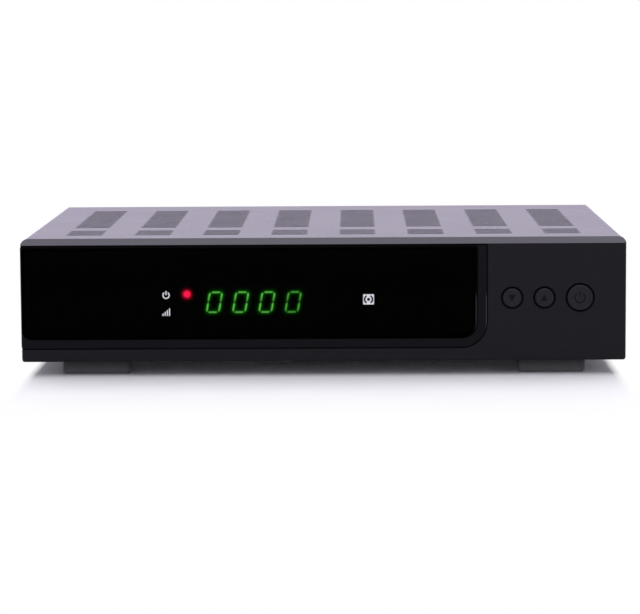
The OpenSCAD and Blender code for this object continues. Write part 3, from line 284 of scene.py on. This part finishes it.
def make_circuit_board(name, mask, track):
    """Board with tracks under its mask and tinned pads."""
    pad, tracks_in_block = (0.55, 0.54, 0.50), 5.0
    finish = Finish(name)
    block = finish.cells(grain=9.0, distance="MANHATTAN")
    route = finish.math("FRACT", finish.math("MULTIPLY", block, tracks_in_block))
    lines = finish.span(route, 0.6, 0.64)
    dots = finish.span(finish.cells(grain=3.2, distance="CHEBYCHEV"), 0.2, 0.17)
    finish.drive("Base Color", finish.blend(dots, finish.blend(lines, mask, track), pad))
    finish.drive("Roughness", finish.span(dots, 0.0, 1.0, 0.38, 0.25))
    finish.relief(finish.math("MAXIMUM", lines, dots), depth=0.03)
    return finish


def make_resin(name, colour):
    """Cast resin of a lamp or of a digit's segments."""
    finish = Finish(name, IOR=1.5, Roughness=0.2)
    finish.drive("Base Color", finish.blend(finish.noise(grain=0.8), tint(colour, 0.8), colour))
    return finish


def light_as_lamp(finish):
    """Red light about the power lamp's axis: a bright middle that fades into the panel round it."""
    finish.shader.inputs["Emission Color"].default_value = (1.0, 0.010, 0.065, 1.0)
    math = finish.math
    core, rim, fade = 22.0, 6.1, 0.3 * MM
    x, z = front_middle("power_led")
    across = math("SUBTRACT", finish.axis("X"), x)
    up = math("SUBTRACT", finish.axis("Z"), z)
    away = math("SQRT", math("ADD", math("POWER", across, 2.0), math("POWER", up, 2.0)))
    tail = math("EXPONENT", math("DIVIDE", math("SUBTRACT", LAMP_EDGE, away), fade))
    inside = finish.span(away, LAMP_EDGE / 3, LAMP_EDGE, core, rim)
    finish.drive("Emission Strength", math("MINIMUM", inside, math("MULTIPLY", tail, rim)))
    return finish


def light_as_digits(finish, strength, spread, core):
    """Green light about the middle lines of the digits' strokes, weaker on the last digit.

    The digits lean, and the four of them are folded onto one. spread is how far the light
    reaches from a middle line, and core is its colour there.
    """
    math, span = finish.math, finish.span
    pitch, width, stroke, lean = 9.58 * MM, 5.4 * MM, 0.9 * MM, tan(radians(10))
    corner = 1.2 * MM
    low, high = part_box("lit_segments")
    x, z = front_middle("lit_segments")
    up = math("SUBTRACT", finish.axis("Z"), z)
    upright = math("SUBTRACT", finish.axis("X"), math("MULTIPLY", up, lean))
    along = math("DIVIDE", math("SUBTRACT", upright, x), pitch)
    folded = math("MULTIPLY", math("SUBTRACT", math("FRACT", along), 0.5), pitch)

    # Distance from the middle lines, which make a rectangle with round corners
    beside = math("SUBTRACT", math("ABSOLUTE", folded), (width - stroke) / 2 - corner)
    above = math("SUBTRACT", math("ABSOLUTE", up), (high.z - low.z - stroke) / 2 - corner)
    inner = math("MINIMUM", math("MAXIMUM", beside, above), 0.0)
    squares = [math("POWER", math("MAXIMUM", side, 0.0), 2.0) for side in (beside, above)]
    outer = math("SQRT", math("ADD", *squares))
    line = math("SUBTRACT", math("ADD", inner, outer), corner)
    away = math("DIVIDE", line, spread)
    level = math("EXPONENT", math("MULTIPLY", math("POWER", away, 2.0), -1.0))
    finish.drive("Emission Color", finish.blend(span(level, 0.5, 1.0), (0.0, 1.0, 0.0), core))

    # Strokes are weakest at the gap halfway up, and weaker at the top and the bottom
    gap_level, top_level, bottom_level = 0.33, 0.8, 0.72
    upper = span(up, 0.0, 2.4 * MM, gap_level, 1.0)
    lower = span(up, 0.0, -0.9 * MM, gap_level, 1.0)
    top = span(up, 3.0 * MM, 3.6 * MM, 1.0, top_level)
    bottom = span(up, -1.9 * MM, -3.4 * MM, 1.0, bottom_level)
    strokes = math("MULTIPLY", math("MAXIMUM", upper, lower), math("MULTIPLY", top, bottom))

    # No light beyond the four digits, and less on the last one
    last_level = 0.66
    ends = span(math("ABSOLUTE", along), 2.0, 2.05, 1.0, 0.0)
    dimmed = span(along, 0.6, 1.25, strength, strength * last_level)
    shown = math("MULTIPLY", math("MULTIPLY", level, ends), strokes)
    finish.drive("Emission Strength", math("MULTIPLY", shown, dimmed))
    return finish


def make_capacitor():
    """Shrunk dark sleeve and an uncoated aluminium top."""
    aluminium = (0.62, 0.63, 0.64)
    finish = Finish("capacitor_sleeve")
    facing = finish.node("ShaderNodeSeparateXYZ", {
        "Vector": finish.node("ShaderNodeTexCoord").outputs["Normal"]
    }).outputs["Z"]
    top = finish.span(facing, 0.8, 0.85)
    sleeve = finish.blend(finish.noise(grain=2.0), (0.010, 0.014, 0.030), (0.016, 0.022, 0.046))
    finish.drive("Base Color", finish.blend(top, sleeve, aluminium))
    finish.drive("Metallic", top)
    finish.drive("Roughness", finish.vary(finish.noise(grain=0.5), 0.28, 0.36))
    return finish


def make_ribbon():
    """Flat cable: one ridge for each conductor and one coloured edge."""
    conductors, red = 12, (0.45, 0.03, 0.03)
    finish = Finish("ribbon_jacket", Roughness=0.5)
    x0, x1 = (corner.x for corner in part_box("ribbon_cable"))
    across = finish.span(finish.axis("X"), x0, x1)
    ridge = finish.math("SINE", finish.math("MULTIPLY", across, conductors * tau))
    grey = finish.blend(finish.noise(grain=1.5), (0.40, 0.40, 0.42), (0.48, 0.48, 0.50))
    past_edge = finish.span(across, 0.07, 0.08)
    finish.drive("Base Color", finish.blend(past_edge, red, grey))
    finish.relief(ridge, depth=0.2)
    return finish


def make_harness():
    """Five insulated wires side by side: red, black, yellow, black and orange."""
    red, black = (0.5, 0.02, 0.02), (0.01, 0.01, 0.01)
    yellow, orange = (0.55, 0.32, 0.02), (0.5, 0.1, 0.01)
    wires = (red, black, yellow, black, orange)
    finish = Finish("wire_jacket")
    y0, y1 = (corner.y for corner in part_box("power_harness"))
    across = finish.span(finish.axis("Y"), y0, y1)
    stops = [(i / len(wires), colour) for i, colour in enumerate(wires)]
    finish.drive("Base Color", finish.bands(across, stops))
    finish.drive("Roughness", finish.vary(finish.noise(grain=0.6), 0.35, 0.45))
    return finish


def make_fuse():
    """Glass tube between two plated caps."""
    plating = (0.66, 0.65, 0.62)
    finish = Finish("fuse_glass")
    y0, y1 = (corner.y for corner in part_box("fuse"))
    along = finish.math("ABSOLUTE", finish.span(finish.axis("Y"), y0, y1, -1.0, 1.0))
    cap = finish.span(along, 0.49, 0.51)
    glass = finish.blend(finish.noise(grain=1.0), (0.55, 0.56, 0.54), (0.66, 0.67, 0.65))
    finish.drive("Base Color", finish.blend(cap, glass, plating))
    finish.drive("Metallic", cap)
    finish.drive("Roughness", finish.vary(finish.noise(grain=0.5), 0.15, 0.25))
    return finish


def make_winding(node, tape):
    """Wound part: bands of tape or wire over a dark ferrite core that shows at its top."""
    turns, ferrite = 24, (0.035, 0.035, 0.036)
    finish = Finish("winding_" + node)
    low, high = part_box(node)
    up = finish.span(finish.axis("Z"), low.z, high.z)
    wave = finish.math("SINE", finish.math("MULTIPLY", up, turns * tau))
    core = finish.span(up, 0.8, 0.81)
    wound = finish.blend(finish.span(wave, -1.0, 1.0), tint(tape, 0.75), tape)
    finish.drive("Base Color", finish.blend(core, wound, ferrite))
    finish.drive("Roughness", finish.vary(finish.noise(grain=0.8), 0.4, 0.55))
    finish.relief(wave, depth=0.05)
    return finish


# Table of finishes

BLACK = (0.0045, 0.0043, 0.0052)
VIOLET = (0.86, 0.80, 1.0, 1.0)

PANEL = grained(
    "panel_plastic", BLACK, roughness=0.5, grain=0.3, depth=0.02,
    Specular_IOR_Level=0.16, Specular_Tint=VIOLET,
)
BEVEL = grained(
    "panel_bevel", BLACK, roughness=0.33, grain=0.3, depth=0.004,
    Specular_IOR_Level=0.68, Specular_Tint=VIOLET,
)
BEZEL = grained(
    "bezel_plastic", tint(BLACK, 0.75), roughness=0.42, grain=0.5, depth=0.006,
    Specular_IOR_Level=0.08, Specular_Tint=VIOLET,
)
MATT_EDGE = grained(
    "matt_edge", tint(BLACK, 0.2), roughness=0.8, grain=0.5, depth=0.004, Specular_IOR_Level=0.015
)
# Right edges of the frame and of the window: black, each with a painted highlight band
BEZEL_EDGE = make_right_edge("bezel_edge", tint(BLACK, 0.75), highlight_colour=(0.064, 0.061, 0.068), gloss=0.04)
WINDOW_EDGE = make_right_edge("window_edge", tint(BLACK, 0.1), highlight_colour=(0.023, 0.022, 0.025), gloss=0.006)
PRINT = grained("white_print", (0.72, 0.72, 0.75), roughness=0.5, grain=0.15, depth=0.003, mottle=0.06)
# Near black: the print on the remote sensor's sign, and the painted shade of the engraved button marks
DARK_PRINT_AND_SHADE = grained(
    "dark_print_and_shade", (0.0018, 0.0018, 0.002), roughness=0.6, grain=0.15, depth=0.003,
    Specular_IOR_Level=0.1,
)
# Painted highlight along one side of each button mark
MARK_HIGHLIGHT = grained(
    "mark_highlight", (0.016, 0.016, 0.018), roughness=0.45, grain=0.15, depth=0.003,
    Specular_IOR_Level=0.2,
)
CONTACT = brushed("gold_contact", (0.78, 0.58, 0.26), roughness=0.26, stretch=(1, 0.1, 1))

# Each of these is named as its slot in the record
FINISHES = {
    finish.name: finish
    for finish in (
        PANEL,
        BEZEL,
        make_window_acrylic(),
        make_cover_paint(),
        make_zinc_sheet(),
        brushed("black_screw", (0.09, 0.09, 0.10), roughness=0.36, stretch=(1, 1, 1)),
        make_foot_rubber(),
        grained(
            "button_plastic", tint(BLACK, 1.4), roughness=0.42, grain=0.25, depth=0.008,
            Specular_IOR_Level=0.21, Specular_Tint=VIOLET,
        ),
        grained("switch_plastic", (0.02, 0.02, 0.02), roughness=0.5, grain=0.4, depth=0.01),
        make_circuit_board("circuit_board", mask=(0.010, 0.075, 0.030), track=(0.020, 0.125, 0.055)),
        make_circuit_board("supply_board", mask=(0.300, 0.170, 0.060), track=(0.380, 0.230, 0.090)),
        brushed("zinc_steel", (0.60, 0.60, 0.62), roughness=0.32, stretch=(1, 1, 0.2)),
        light_as_digits(
            make_resin("segment_lit", (0.10, 0.60, 0.08)),
            strength=7.2, spread=0.47 * MM, core=(0.31, 1.0, 0.2),
        ),
        grained("segment_dark", (0.12, 0.13, 0.12), roughness=0.5, grain=0.4, depth=0.01),
        light_as_lamp(make_resin("lamp_red", (0.60, 0.02, 0.06))),
        make_resin("lamp_dark", (0.10, 0.012, 0.012)),
        grained("sensor_resin", (0.012, 0.006, 0.010), roughness=0.2, grain=0.6, depth=0.003),
        grained("chip_resin", (0.014, 0.014, 0.015), roughness=0.55, grain=0.25, depth=0.01),
        grained("socket_plastic", (0.72, 0.69, 0.58), roughness=0.45, grain=0.6, depth=0.01),
        make_ribbon(),
        make_harness(),
        brushed("sink_aluminium", (0.60, 0.61, 0.63), roughness=0.36, stretch=(1, 0.05, 1)),
        make_capacitor(),
        brushed("tinned_steel", (0.66, 0.66, 0.64), roughness=0.3, stretch=(0.1, 1, 1)),
        brushed("nickel", (0.66, 0.64, 0.60), roughness=0.24, stretch=(1, 0.1, 1)),
        brushed("brass_contact", (0.74, 0.56, 0.26), roughness=0.28, stretch=(1, 0.1, 1)),
        grained("white_insulator", (0.80, 0.78, 0.72), roughness=0.5, grain=0.5, depth=0.008),
        grained("black_insulator", (0.012, 0.012, 0.013), roughness=0.45, grain=0.35, depth=0.01),
        make_fuse(),
    )
}

# Nodes that look different from the rest of their slot
OWN_FINISH = {
    # The display's face shines faintly round the lit strokes: a painted glow of the light that the
    # segments spill
    "digit_display": light_as_digits(
        grained("display_face_glow", (0.006, 0.006, 0.006), roughness=0.5, grain=0.4, depth=0.01),
        strength=1.1, spread=0.8 * MM, core=(0.03, 1.0, 0.02),
    ),
    "transformer": make_winding("transformer", tape=(0.62, 0.44, 0.06)),
    "line_choke": make_winding("line_choke", tape=(0.42, 0.17, 0.06)),
}


def dress_nodes():
    """Each CAD node gets the finish of its slot in the record, or its own."""
    for part in frame["record"]["subparts"]:
        node = part["node"]
        finish = OWN_FINISH.get(node) or FINISHES[part["material_slot"]]
        mesh = NODES[node].data
        mesh.materials.clear()
        mesh.materials.append(finish.material)


def finish_faces(node, finish, chosen):
    """Gives finish to the faces of node that chosen picks by their middle and normal."""
    mesh = NODES[node].data
    mesh.materials.append(finish.material)
    for face in mesh.polygons:
        if chosen(face.center, face.normal):
            face.material_index = len(mesh.materials) - 1


def finish_edges():
    """Finishes of the panel's smooth top bevel and of the edges of the window and its frame.

    A face counts as facing an axis from a certain share of its normal along that axis. The
    window's right edge is round: its front part carries a painted highlight and its side is matt.
    """
    facing, edge_front, edge_side = 0.3, 0.1, 0.7
    bevel = 2.4 * MM
    low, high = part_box("front_panel")
    window_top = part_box("display_window")[1].z

    def on_bevel(middle, normal):
        return middle.y < low.y + bevel and middle.z > high.z - bevel and normal.z > facing

    def on_top(middle, normal):
        return normal.z > facing or middle.z > window_top

    finish_faces("front_panel", BEVEL, on_bevel)
    for node in ("display_bezel", "display_window"):
        finish_faces(node, MATT_EDGE, on_top)
    # Painted highlight bands on the right edges of the frame and of the window
    finish_faces("display_bezel", BEZEL_EDGE, lambda middle, normal: normal.x > facing)
    finish_faces("display_window", MATT_EDGE, lambda middle, normal: normal.x >= edge_side)
    finish_faces("display_window", WINDOW_EDGE, lambda middle, normal: edge_front < normal.x < edge_side)


# Printed signs and contacts


def add_piece(name, bm, body, finish):
    """Makes an object of a bmesh, which rides on a body."""
    mesh = bpy.data.meshes.new(name)
    bm.to_mesh(mesh)
    bm.free()
    mesh.materials.append(finish.material)
    piece = bpy.data.objects.new(name, mesh)
    bpy.context.collection.objects.link(piece)
    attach(piece, body)


def raised(name, outlines, y, height, body, finish):
    """Flat plates that face the front, standing height off the plane at depth y.

    outlines are lists of (x, z) points in metres, counter-clockwise seen from the front.
    """
    bm = bmesh.new()
    for outline in outlines:
        back = [bm.verts.new((x, y, z)) for x, z in outline]
        front = [bm.verts.new((x, y - height, z)) for x, z in outline]
        bm.faces.new(front)
        bm.faces.new(back[::-1])
        for i in range(len(outline)):
            j = (i + 1) % len(outline)
            bm.faces.new((back[i], back[j], front[j], front[i]))
    add_piece(name, bm, body, finish)


def disc(x, z, radius, steps):
    """Outline of a circle."""
    angles = [tau * i / steps for i in range(steps)]
    return [(x + radius * cos(a), z + radius * sin(a)) for a in angles]


def arc(x, z, inner, outer, start, end, steps):
    """Outline of part of a ring; angles in degrees, counter-clockwise from the right."""
    angles = [radians(start + (end - start) * i / steps) for i in range(steps + 1)]
    return [(x + outer * cos(a), z + outer * sin(a)) for a in angles] + [
        (x + inner * cos(a), z + inner * sin(a)) for a in reversed(angles)
    ]


def rect(x0, z0, x1, z1, corner=0.0):
    """Outline of a rectangle, whose corners may be round."""
    if not corner:
        return [(x0, z0), (x1, z0), (x1, z1), (x0, z1)]
    steps = 5
    points = []
    for x, z, turn in (
        (x1 - corner, z0 + corner, -90), (x1 - corner, z1 - corner, 0),
        (x0 + corner, z1 - corner, 90), (x0 + corner, z0 + corner, 180),
    ):
        for i in range(steps + 1):
            a = radians(turn + 90 * i / steps)
            points.append((x + corner * cos(a), z + corner * sin(a)))
    return points


def power_symbol(x, z, size, stroke):
    """Ring that is open at the top, and a bar in the opening."""
    bar_low, bar_high = z + 0.02 * size, z + 0.58 * size
    return [
        arc(x, z, size / 2 - stroke, size / 2, start=125, end=415, steps=28),
        rect(x - stroke / 2, bar_low, x + stroke / 2, bar_high, stroke / 3),
    ]


def signal_bars(x, z, size, stroke):
    """Four bars of growing height."""
    count, shortest = 4, 0.3
    step, foot = size / 3.4, z - size / 2
    bars = []
    for i in range(count):
        middle = x + (i - (count - 1) / 2) * step
        height = size * (shortest + (1 - shortest) * i / (count - 1))
        bars.append(rect(middle - stroke / 2, foot, middle + stroke / 2, foot + height))
    return bars


def arrow(x, z, size, up):
    """Triangle that points up or down."""
    half = size / 2
    tip = half if up else -half
    base = z - tip * 0.8
    points = [(x - half, base), (x + half, base), (x, z + tip)]
    return [points if up else points[::-1]]


def sensor_waves(x, z, size):
    """A dot between two arcs: the place to aim a remote control at."""
    dot, inner, outer, half_turn = 0.16 * size, 0.31 * size, 0.48 * size, 62
    return [disc(x, z, dot, steps=24)] + [
        arc(x, z, inner, outer, side - half_turn, side + half_turn, steps=16) for side in (0, 180)
    ]


def print_window_signs():
    """White signs on the window, beside the lamps and over the remote sensor."""
    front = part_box("display_window")[0].y
    size, stroke, left_of_lamp = 2.7 * MM, 0.42 * MM, 7.4 * MM
    for name, lamp, symbol in (
        ("power_sign", "power_led", power_symbol), ("signal_sign", "signal_led", signal_bars)
    ):
        x, z = front_middle(lamp)
        sign = symbol(x - left_of_lamp, z, size, stroke)
        raised(name, sign, front, INK, "case", PRINT)

    half_w, half_h, corner = 1.99 * MM, 1.87 * MM, 0.2 * MM
    waves_size, above_sensor = 3.6 * MM, 1.26 * MM
    x, z = front_middle("ir_receiver")
    z += above_sensor
    plate = rect(x - half_w, z - half_h, x + half_w, z + half_h, corner)
    waves = sensor_waves(x, z, waves_size)
    raised("sensor_sign", [plate], front, INK, "case", PRINT)
    raised("sensor_waves", waves, front - INK, INK, "case", DARK_PRINT_AND_SHADE)


def add_lamp_halo():
    """Film on the panel round the power lamp, which shines with a painted glow of the light that the
    lamp spills.
    """
    panel_before_lamp = 0.1 * MM
    inner, outer, steps = LAMP_EDGE, 3.3 * MM, 56
    x, z = front_middle("power_led")
    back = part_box("power_led")[0].y - panel_before_lamp
    front = back - INK
    bm = bmesh.new()
    loops = [
        [bm.verts.new((px, y, pz)) for px, pz in disc(x, z, radius, steps)]
        for radius, y in ((inner, front), (outer, front), (outer, back), (inner, back))
    ]
    for here, there in zip(loops, loops[1:] + loops[:1]):
        for i in range(steps):
            j = (i + 1) % steps
            bm.faces.new((here[i], there[i], there[j], here[j]))
    # Painted glow: the film shines like the lamp, though it is no lamp
    film = light_as_lamp(grained("lamp_halo", BLACK, roughness=0.5, grain=0.3, depth=0.003))
    add_piece("lamp_halo", bm, "case", film)


def mark_buttons():
    """Arrows on the channel buttons and a power symbol on the large one: painted shade of their
    engraving, each with a painted highlight at its lower right.
    """
    arrow_size, ring_size, ring_stroke, highlight_shift = 2.9 * MM, 4.3 * MM, 0.55 * MM, 0.16 * MM
    for name, shape in (
        ("channel_down", lambda x, z: arrow(x, z, arrow_size, up=False)),
        ("channel_up", lambda x, z: arrow(x, z, arrow_size, up=True)),
        ("power", lambda x, z: power_symbol(x, z, ring_size, ring_stroke)),
    ):
        button, body = name + "_button", name + "_key"
        x, z = front_middle(button)
        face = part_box(button)[0].y
        # Painted highlight: a lighter copy of the mark, shifted right and down, under the painted shade
        edge = shape(x + highlight_shift, z - highlight_shift / 2)
        raised(name + "_mark", shape(x, z), face, INK, body, DARK_PRINT_AND_SHADE)
        raised(name + "_mark_highlight", edge, face, INK / 2, body, MARK_HIGHLIGHT)


def box_into(bm, low, high):
    """A box between two corners."""
    matrix = Matrix.Translation((low + high) / 2) @ Matrix.Diagonal((*(high - low), 1.0))
    bmesh.ops.create_cube(bm, size=1.0, matrix=matrix)


def spread_contacts(name, insert, count, pitch, z, size):
    """A row of flat contacts on a socket's tongue; size is one's width, length and thickness."""
    width, length, height = size
    set_back, rounding = 0.6 * MM, height * 0.3
    low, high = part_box(insert)
    middle = (low.x + high.x) / 2
    end = high.y - set_back
    bm = bmesh.new()
    for i in range(count):
        x = middle + (i - (count - 1) / 2) * pitch
        box_into(bm, Vector((x - width / 2, end - length, z)), Vector((x + width / 2, end, z + height)))
    bmesh.ops.bevel(
        bm, geom=bm.edges[:], offset=rounding, segments=1, affect="EDGES", clamp_overlap=True
    )
    add_piece(name, bm, "case", CONTACT)


def add_contacts():
    """Contacts in the HDMI and USB sockets at the rear."""
    thickness = 0.08 * MM
    spread_contacts(
        "hdmi_contacts", "hdmi_insert", count=10, pitch=1.0 * MM,
        z=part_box("hdmi_shell")[0].z + 2.87 * MM, size=(0.5 * MM, 6.0 * MM, thickness),
    )
    spread_contacts(
        "usb_contacts", "usb_insert", count=4, pitch=2.3 * MM,
        z=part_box("usb_shell")[1].z - 2.98 * MM, size=(1.1 * MM, 7.0 * MM, thickness),
    )


# Studio


def through_camera(tree):
    """1 for rays that a viewer sees directly, in a mirror or through glass."""
    path = tree.nodes.new("ShaderNodeLightPath")
    seen = path.outputs["Is Camera Ray"]
    for ray in ("Is Glossy Ray", "Is Transmission Ray"):
        either = tree.nodes.new("ShaderNodeMath")
        either.operation = "MAXIMUM"
        tree.links.new(seen, either.inputs[0])
        tree.links.new(path.outputs[ray], either.inputs[1])
        seen = either.outputs["Value"]
    return seen


def make_world():
    """Soft grey-white light all round, seen as plain white."""
    world = bpy.data.worlds.new("studio")
    bpy.context.scene.world = world
    world.use_nodes = True
    tree = world.node_tree
    light = tree.nodes["Background"]
    light.inputs["Color"].default_value = (0.89, 0.87, 1.0, 1.0)
    light.inputs["Strength"].default_value = 0.44
    white = tree.nodes.new("ShaderNodeBackground")
    white.inputs["Color"].default_value = (1.0, 1.0, 1.0, 1.0)
    mix = tree.nodes.new("ShaderNodeMixShader")
    tree.links.new(through_camera(tree), mix.inputs["Fac"])
    tree.links.new(light.outputs["Background"], mix.inputs[1])
    tree.links.new(white.outputs["Background"], mix.inputs[2])
    tree.links.new(mix.outputs["Shader"], tree.nodes["World Output"].inputs["Surface"])


def make_floor():
    """Pale floor that keeps the object's shadow before and behind it, and is plain white elsewhere."""
    bpy.ops.mesh.primitive_plane_add(size=12.0)
    floor = bpy.context.object
    floor.name = "floor"
    finish = Finish("floor", Base_Color=(0.92, 0.915, 0.94, 1.0), Specular_IOR_Level=0.2)
    finish.drive("Roughness", finish.vary(finish.noise(grain=40.0), 0.5, 0.6))
    beside = finish.math("SUBTRACT", finish.math("ABSOLUTE", finish.axis("X")), CAD_BOX[1][0])
    beyond = finish.math("SUBTRACT", finish.math("ABSOLUTE", finish.axis("Y")), CAD_BOX[1][1])
    past_sides = finish.span(beside, -5.5 * MM, -2.0 * MM)
    past_ends = finish.span(beyond, 30.0 * MM, 95.0 * MM)
    away = finish.math("MAXIMUM", past_sides, past_ends)
    far = finish.math("MULTIPLY", away, through_camera(finish.tree))
    white = finish.node("ShaderNodeEmission", {"Color": (1.0, 1.0, 1.0, 1.0)}).outputs["Emission"]
    mix = finish.node(
        "ShaderNodeMixShader", {0: far, 1: finish.shader.outputs["BSDF"], 2: white}
    )
    finish.tree.links.new(mix.outputs["Shader"], finish.tree.nodes["Material Output"].inputs["Surface"])
    floor.data.materials.append(finish.material)


def add_softbox(name, place, target, size, power):
    """A rectangular lamp at place that points at target."""
    lamp = bpy.data.lights.new(name, "AREA")
    lamp.shape = "RECTANGLE"
    lamp.size, lamp.size_y = size
    lamp.energy = power
    box = bpy.data.objects.new(name, lamp)
    box.location = place
    box.rotation_euler = (Vector(target) - Vector(place)).to_track_quat("-Z", "Y").to_euler()
    bpy.context.collection.objects.link(box)


def light_studio():
    """Soft lamps above the object, before it and at its right."""
    add_softbox("overhead", (0.0, 0.2, 1.0), (0.0, 0.1, 0.0), size=(1.3, 1.0), power=7.5)
    add_softbox("front", (0.0, -0.9, 0.9), (0.0, -0.08, 0.0), size=(0.9, 0.5), power=3.5)
    add_softbox("right_side", (0.35, -0.85, 0.5), (0.0, -0.05, 0.03), size=(0.4, 0.5), power=1.1)


def make_camera():
    """The photo's viewpoint: a long lens, slightly above, turned a little to the left."""
    focal_px, width_px = 2730.0, 640
    eye = Vector((0.011456, -1.06697, 0.13694))
    pitch, yaw, roll = 0.112748, -0.0127821, -0.00600914
    data = bpy.data.cameras.new("camera")
    data.sensor_fit = "HORIZONTAL"
    data.sensor_width = 36.0
    data.lens = data.sensor_width * focal_px / width_px
    camera = bpy.data.objects.new("camera", data)
    bpy.context.collection.objects.link(camera)
    forward = Vector((sin(yaw) * cos(pitch), cos(yaw) * cos(pitch), -sin(pitch)))
    right = Vector((cos(yaw), -sin(yaw), 0.0))
    up = right.cross(forward)
    side = cos(roll) * right + sin(roll) * up
    top = cos(roll) * up - sin(roll) * right
    turn = Matrix((side, top, -forward)).transposed().to_4x4()
    camera.matrix_world = Matrix.Translation(eye) @ turn
    bpy.context.scene.camera = camera


dress_nodes()
finish_edges()
print_window_signs()
add_lamp_halo()
mark_buttons()
add_contacts()
make_world()
make_floor()
light_studio()
make_camera()
bpy.context.scene.view_settings.view_transform = "Standard"
